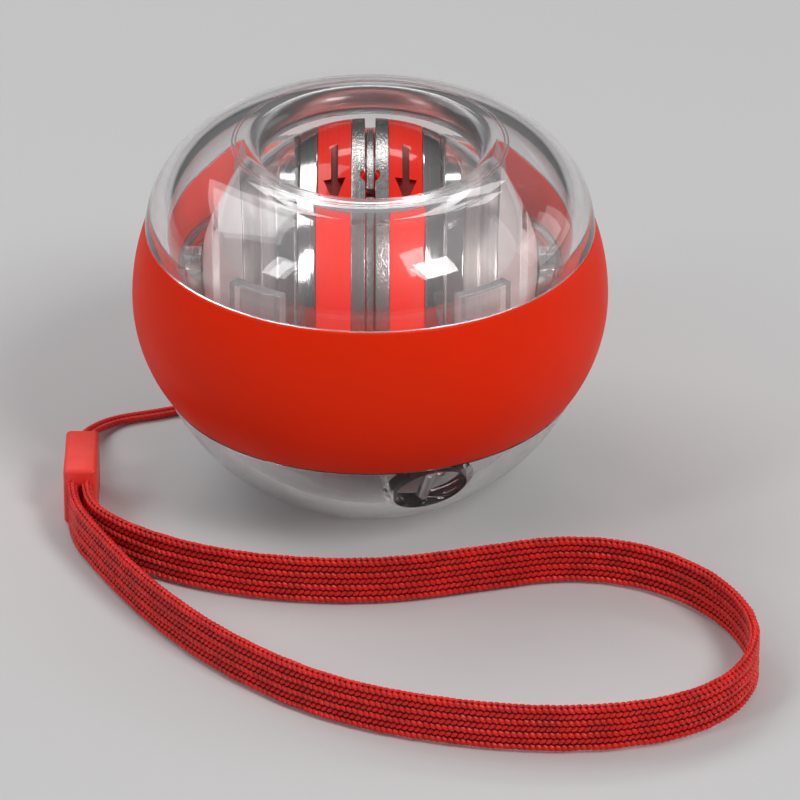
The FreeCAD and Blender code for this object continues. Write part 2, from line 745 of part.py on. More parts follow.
def make_rotor_core():
    body = turned("rotor_core", "X", [
        (weight_end, s.core_bore),
        (weight_end, core_radius),
        (s.groove_ring_half, core_radius),
        (s.groove_ring_half, web_radius),
        (-s.groove_ring_half, web_radius),
        (-s.groove_ring_half, core_radius),
        (-weight_end, core_radius),
        (-weight_end, s.chamber_radius),
        (-s.chamber_end, s.chamber_radius),
        (-s.chamber_end, s.core_bore),
    ])
    drill(body, pin_circles(s.fit_gap / 2))
    name_node("rotor_core", body)


def make_rotor_pins():
    pins = []
    for number, (across, up, radius) in enumerate(pin_circles(measure(0))):
        place = centre + FreeCAD.Vector(-float(weight_end), float(across), float(up))
        pins.append(cylinder(f"rotor_pin_{number}", s.pin_radius, weight_end * 2, place,
                             FreeCAD.Vector(1, 0, 0)))
    name_node("rotor_pins", joined("rotor_pins", pins))


def make_bearing_balls(side, hand):
    pitch = s.axle_radius + s.bearing_radius
    ball_radius = (s.bearing_radius - s.axle_radius) / 2 - s.race_ring_wall - s.ball_gap
    middle = (bearing_start + rotor_end) / 2
    balls = []
    for number in range(BEARING_BALLS):
        angle = 2 * math.pi * number / BEARING_BALLS
        ball = doc.addObject("Part::Sphere", f"ball_{hand}_{number}")
        ball.setExpression("Radius", ball_radius.formula)
        around = FreeCAD.Vector(0, math.cos(angle), math.sin(angle)) * float(pitch / 2)
        ball.Placement.Base = centre + around + FreeCAD.Vector(side * float(middle), 0, 0)
        balls.append(ball)
    name_node("bearing_balls_" + hand, joined("bearing_balls_" + hand, balls))


# Spring start: strip spring in the core's chamber, wound on an arbor with a one-way clutch

def make_spring_start():
    cover_start = -weight_end + s.spring_cover_wall
    arbor_start = cover_start + s.arbor_gap
    arbor_end = -s.chamber_end - s.arbor_gap
    cover = ring_outline(-weight_end, cover_start, s.core_bore, s.chamber_radius)
    arbor = ring_outline(arbor_start, arbor_end, s.arbor_radius - s.arbor_wall, s.arbor_radius)
    cup = ring_outline(arbor_start + s.clutch_end_gap, arbor_end - s.clutch_end_gap,
                       clutch_cup_inner, clutch_cup_outer)
    name_node("spring_cover", turned("spring_cover", "X", cover))
    name_node("spring_arbor", turned("spring_arbor", "X", arbor))
    name_node("clutch_cup", turned("clutch_cup", "X", cup))
    rollers = []
    roller_start = arbor_start + s.clutch_end_gap + s.clutch_wall
    roller_end = arbor_end - s.clutch_end_gap - s.clutch_wall
    for number in range(CLUTCH_ROLLERS):
        angle = 2 * math.pi * number / CLUTCH_ROLLERS
        away = FreeCAD.Vector(0, math.cos(angle), math.sin(angle))
        reach = float(s.axle_radius + s.clutch_gap + s.roller_radius)
        place = centre + away * reach + FreeCAD.Vector(float(roller_start), 0, 0)
        rollers.append(cylinder(f"clutch_roller_{number}", s.roller_radius, roller_end - roller_start,
                                place, FreeCAD.Vector(1, 0, 0)))
    name_node("clutch_rollers", joined("clutch_rollers", rollers))
    make_power_spring(float(arbor_start + s.strip_side_gap), float(arbor_end - s.strip_side_gap))


def make_power_spring(start, end):
    # quarter turns whose centres step round a small square, so each runs on from the last
    pitch = float(s.strip_pitch)
    half = float(s.strip_thick) / 2
    first = float(s.arbor_radius + s.strip_start_gap) + pitch / 2 + half
    room = float(s.chamber_radius - s.strip_start_gap) - half - pitch
    step = pitch / 4
    quarters = int((room - first) / step)
    way = [FreeCAD.Vector(0, math.cos(turn), math.sin(turn)) for turn in
           (0, math.pi / 2, math.pi, 3 * math.pi / 2)]
    hub = FreeCAD.Vector(start, -step / 2, -step / 2)
    edges = []
    caps = [[], []]
    for number in range(quarters):
        radius = first + step * number
        towards, after = way[number % 4], way[(number + 1) % 4]
        for sign in (-1, 1):
            reach = radius + sign * half
            middle = (towards + after).normalize()
            edges.append(Part.Arc(hub + towards * reach, hub + middle * reach, hub + after * reach).toShape())
            if number == 0:
                caps[0].append(hub + towards * reach)
            if number == quarters - 1:
                caps[1].append(hub + after * reach)
        hub = hub - after * step
    for cap in caps:
        edges.append(Part.LineSegment(cap[0], cap[1]).toShape())
    outline = Part.Wire(Part.__sortEdges__(edges))
    spring = doc.addObject("Part::Feature", "power_spring")
    spring.Shape = Part.Face(outline).extrude(FreeCAD.Vector(end - start, 0, 0))
    spring.Placement = FreeCAD.Placement(centre, FreeCAD.Rotation())
    print(f"power spring: {quarters / 4:.2f} turns, {pitch - 2 * half:.2f} mm between them")
    name_node("power_spring", spring)


# Lanyard: clamp, flat strap on its edge and the thin doubled cord

def corners(points):
    # straight runs and, at each inner point, the tangent arc as its start, middle and end
    arcs = []
    radii = []
    for before, point, after in zip(points, points[1:], points[2:]):
        back, onward = before - point, after - point
        run = min(back.Length, onward.Length)
        half_turn = (math.pi - back.getAngle(onward)) / 2
        radius = CORNER_SHARE * run / math.tan(half_turn)
        back.normalize()
        onward.normalize()
        inward = (back + onward).normalize()
        reach = radius / math.cos(half_turn) - radius
        setback = CORNER_SHARE * run
        arcs.append((point + back * setback, point + inward * reach, point + onward * setback))
        radii.append(radius)
    return arcs, radii


def path_edges(points):
    arcs, radii = corners(points)
    edges = []
    last = points[0]
    for start, middle, end in arcs:
        edges.append(Part.LineSegment(last, start).toShape())
        edges.append(Part.Arc(start, middle, end).toShape())
        last = end
    edges.append(Part.LineSegment(last, points[-1]).toShape())
    return edges, radii


def report_path(label, edges, radii, section, volume):
    length = sum(edge.Length for edge in edges)
    print(f"{label}: length {length:.1f} mm, radii " + " ".join(f"{radius:.1f}" for radius in radii))
    print(f"{label}: volume {volume:.1f}, section times length {section * length:.1f}")


def make_wrist_strap():
    lift_height = float(s.strap_lift)
    points = [FreeCAD.Vector(across, along, lift_height) for across, along in STRAP_ROUTE]
    edges, radii = path_edges(points)
    up = FreeCAD.Vector(0, 0, 1)
    half = float(s.strap_thick) / 2
    outline = []
    ends = []
    for sign in (-1, 1):
        side_edges = []
        for edge in edges:
            curve = edge.Curve
            first, last = edge.FirstParameter, edge.LastParameter
            places = []
            for share in (0, 0.5, 1):
                parameter = first + (last - first) * share
                tangent = edge.tangentAt(parameter)
                places.append(edge.valueAt(parameter) + up.cross(tangent) * (sign * half))
            if curve.TypeId == "Part::GeomLine":
                side_edges.append(Part.LineSegment(places[0], places[2]).toShape())
            else:
                side_edges.append(Part.Arc(*places).toShape())
            if edge is edges[0]:
                ends.append(places[0])
            if edge is edges[-1]:
                ends.append(places[2])
        outline.extend(side_edges)
    outline.append(Part.LineSegment(ends[0], ends[2]).toShape())
    outline.append(Part.LineSegment(ends[1], ends[3]).toShape())
    strap = doc.addObject("Part::Feature", "wrist_strap")
    wire = Part.Wire(Part.__sortEdges__(outline))
    strap.Shape = Part.Face(wire).extrude(FreeCAD.Vector(0, 0, float(s.strap_width)))
    report_path("wrist_strap", edges, radii, float(s.strap_width * s.strap_thick), strap.Shape.Volume)
    name_node("wrist_strap", strap)


def make_loop_cord():
    points = [FreeCAD.Vector(*point) for point in CORD_ROUTE]
    edges, radii = path_edges(points)
    radius = float(s.cord_radius)
    circle = Part.Circle(points[0], points[1] - points[0], radius).toShape()
    cord = doc.addObject("Part::Feature", "loop_cord")
    cord.Shape = Part.Wire(edges).makePipeShell([Part.Wire([circle])], True, True)
    report_path("loop_cord", edges, radii, math.pi * radius ** 2, cord.Shape.Volume)
    name_node("loop_cord", cord)


def make_strap_clamp():
    body = doc.addObject("PartDesign::Body", "strap_clamp")
    sketch = new_sketch(body, "strap_clamp_outline", "XY_Plane")
    left = s.clamp_across - s.clamp_width / 2
    right = s.clamp_across + s.clamp_width / 2
    back = s.clamp_front + s.clamp_length
    draw_loop(sketch, [(left, s.clamp_front), (right, s.clamp_front), (right, back), (left, back)])
    pad = body.newObject("PartDesign::Pad", "strap_clamp_block")
    pad.Profile = sketch
    pad.setExpression("Length", s.clamp_height.formula)
    body.Tip = pad
    doc.recompute()
    edges = []
    for number, edge in enumerate(pad.Shape.Edges, start=1):
        low, high = edge.BoundBox.ZMin, edge.BoundBox.ZMax
        if high - low > float(s.clamp_height) / 2 or low > float(s.clamp_height) / 2:
            edges.append(f"Edge{number}")
    rounding = body.newObject("PartDesign::Fillet", "strap_clamp_rounding")
    rounding.Base = (pad, edges)
    rounding.setExpression("Radius", s.clamp_round.formula)
    body.Tip = rounding
    name_node("strap_clamp", body)


make_upper_shell()
make_lower_shell()
make_grip_band()
make_track_ring()
make_axle()
make_groove_ring()
make_rotor_core()
make_rotor_pins()
for side, hand in ((-1, "left"), (1, "right")):
    make_axle_fittings(side, hand)
    make_rotor_side(side, hand)
    make_bearing_balls(side, hand)
make_spring_start()
make_strap_clamp()
make_wrist_strap()
make_loop_cord()
doc.recompute()

faults = [f"{item.Name}: {item.State}" for item in doc.Objects
          if "Invalid" in item.State or "Error" in item.State]
for label, piece in nodes.items():
    shape = piece.Shape
    if shape.isNull() or not shape.isValid() or not shape.Solids:
        faults.append(f"{label}: its shape is not a valid solid")
if faults:
    raise SystemExit("\n".join(faults))

os.makedirs("parts", exist_ok=True)
for label, piece in nodes.items():
    piece.Shape.exportStep(os.path.join("parts", label + ".step"))
    box_size = piece.Shape.BoundBox
    print(f"{label}: {len(piece.Shape.Solids)} solids, {piece.Shape.Volume:.1f} mm3, "
          f"Z {box_size.ZMin:.2f} to {box_size.ZMax:.2f}")
print(f"rotor radius {float(rotor_radius):.2f}, equator height {float(equator_height):.3f}")
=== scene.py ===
import json
import math
import bpy
import bmesh
from mathutils import Matrix, Vector


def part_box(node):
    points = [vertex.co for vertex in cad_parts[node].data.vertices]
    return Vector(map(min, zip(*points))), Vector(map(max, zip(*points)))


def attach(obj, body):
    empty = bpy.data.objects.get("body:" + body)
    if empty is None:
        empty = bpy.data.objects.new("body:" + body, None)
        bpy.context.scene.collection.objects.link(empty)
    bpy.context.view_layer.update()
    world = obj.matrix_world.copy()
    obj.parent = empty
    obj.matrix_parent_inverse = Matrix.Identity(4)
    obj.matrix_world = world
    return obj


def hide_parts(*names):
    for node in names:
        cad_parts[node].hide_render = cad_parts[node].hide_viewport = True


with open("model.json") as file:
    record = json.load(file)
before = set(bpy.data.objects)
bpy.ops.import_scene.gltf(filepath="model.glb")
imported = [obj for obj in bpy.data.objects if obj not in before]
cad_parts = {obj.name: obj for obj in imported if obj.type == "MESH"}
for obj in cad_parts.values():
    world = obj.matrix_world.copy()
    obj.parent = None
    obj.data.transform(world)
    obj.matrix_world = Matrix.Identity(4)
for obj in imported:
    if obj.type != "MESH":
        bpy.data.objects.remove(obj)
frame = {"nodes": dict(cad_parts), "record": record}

mm = 0.001
small = 1e-6
fullTurn = 2 * math.pi
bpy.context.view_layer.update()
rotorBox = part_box("groove_ring")
ballCentre = (Vector(rotorBox[0]) + Vector(rotorBox[1])) / 2   # the rotor's centre, which is also the ball's
hands = ((-1, "left"), (1, "right"))
steps = dict(shell=256, ring=192, hub=96, axle=64, pin=32, lug=12)   # of a full turn, or of a lug's sweep
fineArc = dict(shell=0.035, band=0.03)   # radians between an arc's points
ball = dict(   # sizes that several pieces share
    radius=35.0, seat=32.0, wall=33.0, lowerSphere=33.5, foot=12.7, bandTop=11.2, bandBottom=13.3,
    seatLow=5.0, innerWall=29.6, race=30.9, bore=28.0, collarInner=26.7, collarOuter=27.7, rotor=25.6,
    rotorEnd=24.4, parting=1.2, partingGap=0.05, seatGap=0.03)
shaping = dict(   # how outlines are rounded and meshes are cleaned
    bend=22, reach=0.4, guard=0.5, guardMost=0.08, weld=2e-7, sharp=38, carvedSharp=32)


def leg(radius, other):
    return math.sqrt(max(radius * radius - other * other, 0))


# Outlines and turned meshes

def arcSteps(start, end, radius, side, finest):
    # points of an arc of under a half circle, without its end; its centre is on the left or right of its way
    start, end = Vector(start), Vector(end)
    chord = end - start
    normal = Vector((-chord.y, chord.x)).normalized() * (1 if side == "left" else -1)
    hub = (start + end) / 2 + normal * leg(radius, chord.length / 2)
    first, last = start - hub, end - hub
    sweep = first.angle_signed(last)
    count = max(2, math.ceil(abs(sweep) / finest))
    return [hub + Matrix.Rotation(-sweep * step / count, 2) @ first for step in range(count)]


def softened(points, rounding):
    # rounds each sharp corner of a closed outline, and adds a point beside it that keeps the shading flat
    result = []
    for index, point in enumerate(points):
        arriving, leaving = point - points[index - 1], points[(index + 1) % len(points)] - point
        if arriving.length < small or leaving.length < small:
            continue
        if arriving.angle(leaving) < math.radians(shaping["bend"]):
            result.append(point)
            continue
        reach = min(rounding, arriving.length * shaping["reach"], leaving.length * shaping["reach"])
        start = point - arriving.normalized() * reach
        end = point + leaving.normalized() * reach
        before, after = (min(reach * shaping["guard"], line.length * shaping["guardMost"])
                         for line in (arriving, leaving))
        result.append(start - arriving.normalized() * before)
        for share in (0, 1 / 3, 2 / 3, 1):
            result.append(start.lerp(point, share).lerp(point.lerp(end, share), share))
        result.append(end + leaving.normalized() * after)
    return result


def outlinePoints(corners, rounding=0.15, finest=0.05):
    # each corner is (along, up) before a line, or (along, up, radius, side) before an arc
    points = []
    for index, corner in enumerate(corners):
        following = corners[(index + 1) % len(corners)]
        if len(corner) == 2:
            points.append(Vector(corner))
        else:
            points.extend(arcSteps(corner[:2], following[:2], corner[2], corner[3], finest))
    return softened(points, rounding)


def bridge(bm, first, second, skipped=()):
    # faces between two rings of vertices
    faces = []
    for index in range(len(first)):
        other = (index + 1) % len(first)
        if index not in skipped:
            faces.append(bm.faces.new((first[index], first[other], second[other], second[index])))
    return faces


def closeEnds(bm, rings):
    bm.faces.new(rings[0])
    bm.faces.new(list(reversed(rings[-1])))


def spin(bm, points, axis, count, start=0.0, sweep=fullTurn):
    # turns a closed outline round Z, as (radius, height), or round X, as (along, radius)
    closed = sweep >= fullTurn - small
    rings = []
    for step in range(count if closed else count + 1):
        angle = start + sweep * step / count
        cosine, sine = math.cos(angle), math.sin(angle)
        if axis == "Z":
            places = [Vector((point.x * cosine, point.x * sine, point.y)) for point in points]
        else:
            places = [Vector((point.x, -point.y * sine, point.y * cosine)) for point in points]
        rings.append([bm.verts.new(place * mm + ballCentre) for place in places])
    onAxis = [abs(point.x if axis == "Z" else point.y) < small for point in points]
    skipped = [index for index in range(len(points)) if onAxis[index] and onAxis[(index + 1) % len(points)]]
    for step in range(count):
        bridge(bm, rings[step], rings[(step + 1) % len(rings)], skipped)
    if not closed:
        closeEnds(bm, rings)


def tidyMesh(bm, sharp):
    bmesh.ops.remove_doubles(bm, verts=bm.verts, dist=shaping["weld"])
    bmesh.ops.dissolve_degenerate(bm, edges=bm.edges, dist=shaping["weld"])
    bmesh.ops.recalc_face_normals(bm, faces=bm.faces)
    for face in bm.faces:
        face.smooth = True
    for edge in bm.edges:
        edge.smooth = len(edge.link_faces) == 2 and edge.calc_face_angle(0) < math.radians(sharp)


def addObject(name, data):
    made = bpy.data.objects.new(name, data)
    bpy.context.collection.objects.link(made)
    return made


def meshPiece(name, bm, material):
    tidyMesh(bm, shaping["sharp"])
    mesh = bpy.data.meshes.new(name)
    bm.to_mesh(mesh)
    bm.free()
    mesh.materials.append(material)
    return addObject(name, mesh)


def meshTaken(piece):
    # a piece's mesh as a tool; the piece is used up
    bm = bmesh.new()
    bm.from_mesh(piece.data)
    bpy.data.objects.remove(piece)
    return bm


def evaluatedMesh(piece):
    depsgraph = bpy.context.evaluated_depsgraph_get()
    return bpy.data.meshes.new_from_object(piece.evaluated_get(depsgraph))


def turned(name, outlines, axis, material, count=steps["ring"], rounding=0.15, finest=0.05):
    bm = bmesh.new()
    for corners in outlines:
        spin(bm, outlinePoints(corners, rounding, finest), axis, count)
    return meshPiece(name, bm, material)


def rod(radius, length, base, direction, segments=48):
    # a solid cylinder from base along direction, in mm from the ball's centre
    bm = bmesh.new()
    direction = Vector(direction).normalized()
    turn = Vector((0, 0, 1)).rotation_difference(direction).to_matrix().to_4x4()
    middle = ballCentre + (Vector(base) + direction * length / 2) * mm
    bmesh.ops.create_cone(bm, cap_ends=True, segments=segments, radius1=radius * mm, radius2=radius * mm,
                          depth=length * mm, matrix=Matrix.Translation(middle) @ turn)
    return bm


def block(sizes, corner, turn=None):
    # a box from its lowest corner, turned about the ball's centre
    bm = bmesh.new()
    place = Vector(corner) + Vector(sizes) / 2
    matrix = Matrix.Translation(place * mm) @ Matrix.Diagonal((*(Vector(sizes) * mm), 1))
    if turn is not None:
        matrix = turn.to_4x4() @ matrix
    bmesh.ops.create_cube(bm, size=1, matrix=Matrix.Translation(ballCentre) @ matrix)
    return bm


def carve(piece, operation, *tools, cutFinish=None):
    # joins, cuts or intersects with closed tool meshes, which are used up; a cut may have its own finish
    material = piece.data.materials[0]
    for tool in tools:
        toolPiece = meshPiece("tool", tool, cutFinish or material)
        modifier = piece.modifiers.new("carve", "BOOLEAN")
        modifier.operation = operation
        modifier.solver = "EXACT"
        modifier.material_mode = "TRANSFER" if cutFinish else "INDEX"
        modifier.object = toolPiece
        carved, old = evaluatedMesh(piece), piece.data
        piece.modifiers.clear()
        piece.data = carved
        bpy.data.meshes.remove(old)
        bpy.data.objects.remove(toolPiece)
    bm = bmesh.new()
    bm.from_mesh(piece.data)
    tidyMesh(bm, shaping["carvedSharp"])
    bm.to_mesh(piece.data)
    bm.free()


# Node helpers and the shared shader groups

class Nodes:
    # adds nodes to one tree; add() and the methods after it give outputs
    def __init__(self, tree):
        self.tree = tree

    def fill(self, sockets, values):
        for name, value in values.items():
            if isinstance(value, bpy.types.NodeSocket):
                self.tree.links.new(value, sockets[name])
            else:
                sockets[name].default_value = value

    def node(self, kind, inputs=None, **settings):
        made = self.tree.nodes.new(kind)
        for name, value in settings.items():
            setattr(made, name, value)
        self.fill(made.inputs, inputs or {})
        return made

    def add(self, kind, inputs=None, **settings):
        return self.node(kind, inputs, **settings).outputs

    def math(self, operation, first, second=0.0, clamp=False):
        return self.add("ShaderNodeMath", {0: first, 1: second}, operation=operation, use_clamp=clamp)[0]

    def joined(self, **parts):
        return self.add("ShaderNodeCombineXYZ", parts)[0]

    def noise(self, place, scale, detail, **settings):
        return self.add("ShaderNodeTexNoise", {"Vector": place, "Scale": scale, "Detail": detail}, **settings)

    def mapped(self, value, low, high):
        return self.add("ShaderNodeMapRange", {"Value": value, "To Min": low, "To Max": high})[0]

    def between(self, value, low, high, kind="SMOOTHSTEP"):
        return self.add("ShaderNodeMapRange", {"Value": value, "From Min": low, "From Max": high},
                        interpolation_type=kind)[0]

    def mixed(self, factor, first, second):
        # first is a socket or a colour, second is a colour
        first = first if isinstance(first, bpy.types.NodeSocket) else (*first, 1)
        return self.add("ShaderNodeMix", {"Factor": factor, "A": first, "B": (*second, 1)},
                        data_type="RGBA")["Result"]

    def bump(self, height, distance, **more):
        return self.add("ShaderNodeBump", {"Height": height, "Distance": distance, **more})[0]

    def fromCentre(self):
        # where a point is from the ball's centre
        place = self.add("ShaderNodeTexCoord")["Object"]
        centred = self.add("ShaderNodeVectorMath", {0: place, 1: tuple(-ballCentre)}, operation="ADD")[0]
        return self.add("ShaderNodeSeparateXYZ", {0: centred})

    def distance(self, first, second):
        flat = self.joined(X=first, Y=second)
        return self.add("ShaderNodeVectorMath", {0: flat}, operation="LENGTH")["Value"]

    def group(self, tree, values):
        return self.add("ShaderNodeGroup", values, node_tree=tree)


def newGroup(name, inputs, outputs, kind="ShaderNodeTree"):
    tree = bpy.data.node_groups.new(name, kind)
    for label, socketType, value in inputs:
        socket = tree.interface.new_socket(label, in_out="INPUT", socket_type="NodeSocket" + socketType)
        if value is not None:
            socket.default_value = value
    for label, socketType in outputs:
        tree.interface.new_socket(label, in_out="OUTPUT", socket_type="NodeSocket" + socketType)
    nodes = Nodes(tree)
    return nodes, nodes.add("NodeGroupInput"), nodes.node("NodeGroupOutput").inputs


softEdges = dict(cloud=(0.35, 0.65), lines=(0.4, 0.6), fibres=(0.3, 0.7))   # where a noise becomes a mask


def makeGrainGroup():
    # fine moulded grain on Object coordinates, and a broad cloud for handling marks
    nodes, given, result = newGroup("mouldedGrain", [
        ("Grain Size", "Float", 0.0003), ("Cloud Size", "Float", 0.012)],
        [("Height", "Float"), ("Cloud", "Float")])
    place = nodes.add("ShaderNodeTexCoord")["Object"]
    grain = nodes.noise(place, nodes.math("DIVIDE", 1.0, given["Grain Size"]), 2.0)[0]
    cloud = nodes.add("ShaderNodeTexNoise", {
        "Vector": place, "Scale": nodes.math("DIVIDE", 1.0, given["Cloud Size"]), "Detail": 3.0,
        "Roughness": 0.6})[0]
    nodes.fill(result, {"Height": grain, "Cloud": nodes.between(cloud, *softEdges["cloud"])})
    return nodes.tree


def makeTurnedLineGroup():
    # fine rings left by a lathe that turned the piece round the rotor's axle
    nodes, given, result = newGroup("turnedLines", [("Line Width", "Float", 0.00012)],
                                    [("Height", "Float"), ("Mask", "Float")])
    place = nodes.fromCentre()
    flat = nodes.joined(X=place["X"], Y=nodes.distance(place["Y"], place["Z"]))
    scale = nodes.math("DIVIDE", 1.0, given["Line Width"])
    lines = nodes.noise(flat, scale, 3.0, noise_dimensions="2D")[0]
    nodes.fill(result, {"Height": lines, "Mask": nodes.between(lines, *softEdges["lines"])})
    return nodes.tree


def makeFibreGroup():
    # fine filaments that run along each stitch or strand, on its own map
    nodes, given, result = newGroup("yarnFibres", [
        ("Filaments", "Float", 9.0), ("Length Share", "Float", 1.5), ("Seed Scale", "Float", 900.0)],
        [("Height", "Float"), ("Shade", "Float")])
    yarn = nodes.add("ShaderNodeSeparateXYZ", {0: nodes.add("ShaderNodeUVMap", uv_map="yarnMap")[0]})
    body = nodes.add("ShaderNodeSeparateXYZ", {0: nodes.add("ShaderNodeTexCoord")["Object"]})
    place = nodes.joined(
        X=nodes.math("MULTIPLY", yarn["X"], given["Length Share"]),
        Y=nodes.math("MULTIPLY", yarn["Y"], given["Filaments"]),
        Z=nodes.math("MULTIPLY", nodes.math("ADD", body["X"], body["Y"]), given["Seed Scale"]))
    strands = nodes.noise(place, 1.0, 2.0)[0]
    shade = nodes.between(strands, *softEdges["fibres"], "LINEAR")
    nodes.fill(result, {"Height": strands, "Shade": shade})
    return nodes.tree


grainGroup = makeGrainGroup()
turnedLineGroup = makeTurnedLineGroup()
fibreGroup = makeFibreGroup()


def newMaterial(name, settings):
    material = bpy.data.materials.new(name)
    material.use_nodes = True
    nodes = Nodes(material.node_tree)
    nodes.tree.nodes.clear()
    shader = nodes.node("ShaderNodeBsdfPrincipled", settings)
    nodes.node("ShaderNodeOutputMaterial", {"Surface": shader.outputs[0]}, name="output")
    return material, nodes, shader


def grainOf(nodes, look):
    return nodes.group(grainGroup, {"Grain Size": look["grain"], "Cloud Size": look["cloud"]})


# Finishes

roughSpread = dict(clear=(1.0, 2.2), moulded=(0.92, 1.12), yarn=(1.15, 0.85))


def spreadRough(nodes, mask, look, kind):
    low, high = (look["roughness"] * share for share in roughSpread[kind])
    return nodes.mapped(mask, low, high)


def clearPlastic(name, look):
    # polished clear plastic; lamps reach what is behind it through the Transparent shader
    material, nodes, shader = newMaterial(name, {
        "Base Color": (*look["tint"], 1), "Transmission Weight": look["clear"], "IOR": look["ior"],
        "Roughness": look["roughness"]})
    grain = grainOf(nodes, look)
    rough = spreadRough(nodes, grain["Cloud"], look, "clear")
    if "satin" in look:   # the mouth's inner wall is left a little dull
        place = nodes.fromCentre()
        inside = nodes.between(nodes.distance(place["X"], place["Y"]), look["satinStart"] * mm,
                               look["satinFull"] * mm)
        above = nodes.math("GREATER_THAN", place["Z"], 0.0)
        dull = nodes.math("MULTIPLY", nodes.math("MULTIPLY", inside, above), look["satin"])
        rough = nodes.math("ADD", rough, dull)
    nodes.fill(shader.inputs, {"Roughness": rough, "Normal": nodes.bump(grain["Height"], look["grainDepth"])})
    passing = nodes.add("ShaderNodeBsdfTransparent", {"Color": (*look["shade"], 1)})[0]
    shadow = nodes.add("ShaderNodeLightPath")["Is Shadow Ray"]
    mix = nodes.add("ShaderNodeMixShader", {0: shadow, 1: shader.outputs[0], 2: passing})[0]
    nodes.fill(nodes.tree.nodes["output"].inputs, {"Surface": mix})
    return material


# the shell's faint pink tint paints a reflection of the red band in the clear walls
shellLook = dict(tint=(0.975, 0.955, 0.96), clear=0.98, ior=1.49, roughness=0.006, grain=0.006, cloud=0.02,
                 grainDepth=0.00001, shade=(0.93, 0.93, 0.935), satin=0.2, satinStart=18.3, satinFull=17.2)
ringLook = dict(tint=(0.96, 0.955, 0.96), clear=0.90, ior=1.47, roughness=0.012, grain=0.004, cloud=0.01,
                grainDepth=0.000012, shade=(0.93, 0.92, 0.93))
coverLook = dict(tint=(0.965, 0.96, 0.965), clear=0.975, ior=1.47, roughness=0.01, grain=0.005, cloud=0.01,
                 grainDepth=0.00001, shade=(0.94, 0.94, 0.94))


def mouldedPlastic(name, look):
    material, nodes, shader = newMaterial(name, {
        "Coat Weight": look["coat"], "Coat Roughness": look["coatRoughness"],
        "Specular IOR Level": look["specular"]})
    grain = grainOf(nodes, look)
    nodes.fill(shader.inputs, {
        "Base Color": nodes.mixed(grain["Cloud"], look["colour"], look["worn"]),
        "Roughness": spreadRough(nodes, grain["Cloud"], look, "moulded"),
        "Normal": nodes.bump(grain["Height"], look["grainDepth"])})
    return material


bandLook = dict(colour=(0.88, 0.024, 0.001), worn=(0.84, 0.026, 0.002), roughness=0.48, coat=0.0,
                coatRoughness=0.35, specular=0.1, grain=0.00022, cloud=0.02, grainDepth=0.000006)
clampLook = dict(colour=(0.92, 0.060, 0.042), worn=(0.88, 0.050, 0.034), roughness=0.46, coat=0.0,
                 coatRoughness=0.3, specular=0.4, grain=0.00025, cloud=0.004, grainDepth=0.00001)
coreLook = dict(colour=(0.035, 0.034, 0.036), worn=(0.05, 0.048, 0.05), roughness=0.5, coat=0.0,
                coatRoughness=0.3, specular=0.5, grain=0.0003, cloud=0.006, grainDepth=0.000015)
hubLook = dict(colour=(0.58, 0.52, 0.51), worn=(0.54, 0.48, 0.47), roughness=0.34, coat=0.3,
               coatRoughness=0.12, specular=0.5, grain=0.0002, cloud=0.006, grainDepth=0.000004)
# dark red of the arrow recesses: painted shade that deeper recesses would cast
recessShadeLook = dict(colour=(0.20, 0.006, 0.002), worn=(0.14, 0.004, 0.002), roughness=0.24, coat=0.3,
                  coatRoughness=0.1, specular=0.5, grain=0.0002, cloud=0.002, grainDepth=0.00001)


def turnedFinish(name, look):
    # plated or lacquered surfaces that show the lathe's rings
    material, nodes, shader = newMaterial(name, {
        "Metallic": look["metallic"], "Coat Weight": look["coat"], "Coat Roughness": look["coatRoughness"],
        "Specular IOR Level": look["specular"]})
    lines = nodes.group(turnedLineGroup, {"Line Width": look["lineWidth"]})
    grain = grainOf(nodes, look)
    colour = nodes.mixed(lines["Mask"], look["colour"], look["lineColour"])
    tarnish = nodes.mapped(grain["Cloud"], 0.0, look["tarnish"])
    smudge = nodes.mapped(grain["Cloud"], 0.0, look["smudge"])
    rough = nodes.mapped(lines["Mask"], look["roughness"], look["lineRoughness"])
    speckle = nodes.bump(grain["Height"], look["grainDepth"])
    nodes.fill(shader.inputs, {
        "Base Color": nodes.mixed(tarnish, colour, look["tarnishColour"]),
        "Roughness": nodes.math("ADD", rough, smudge, True),
        "Normal": nodes.bump(lines["Height"], look["lineDepth"], Normal=speckle)})
    return material


plated = dict(specular=0.5, metallic=1.0, coat=0.0, coatRoughness=0.1)
redLook = dict(specular=0.15, metallic=0.0, coat=0.65, coatRoughness=0.06, roughness=0.3, lineRoughness=0.34,
               smudge=0.06, lineWidth=0.0004, grain=0.0004, cloud=0.006, colour=(0.84, 0.016, 0.002),
               lineColour=(0.81, 0.014, 0.002), tarnish=0.1, tarnishColour=(0.70, 0.010, 0.002),
               grainDepth=0.000003, lineDepth=0.000002)
chromeLook = dict(plated, roughness=0.06, lineRoughness=0.12, smudge=0.05, lineWidth=0.00025, grain=0.0005,
                  cloud=0.004, colour=(0.66, 0.655, 0.65), lineColour=(0.58, 0.57, 0.56), tarnish=0.35,
                  tarnishColour=(0.46, 0.45, 0.44), grainDepth=0.000004, lineDepth=0.000006)
silverLook = dict(plated, roughness=0.15, lineRoughness=0.2, smudge=0.06, lineWidth=0.0003, grain=0.0003,
                  cloud=0.0006, colour=(0.74, 0.72, 0.71), lineColour=(0.62, 0.60, 0.59), tarnish=0.5,
                  tarnishColour=(0.34, 0.32, 0.31), grainDepth=0.00006, lineDepth=0.000008)
weightLook = dict(plated, roughness=0.30, lineRoughness=0.36, smudge=0.08, lineWidth=0.0005, grain=0.0005,
                  cloud=0.004, colour=(0.52, 0.47, 0.45), lineColour=(0.45, 0.40, 0.38), tarnish=0.35,
                  tarnishColour=(0.36, 0.32, 0.30), grainDepth=0.000006, lineDepth=0.000006)
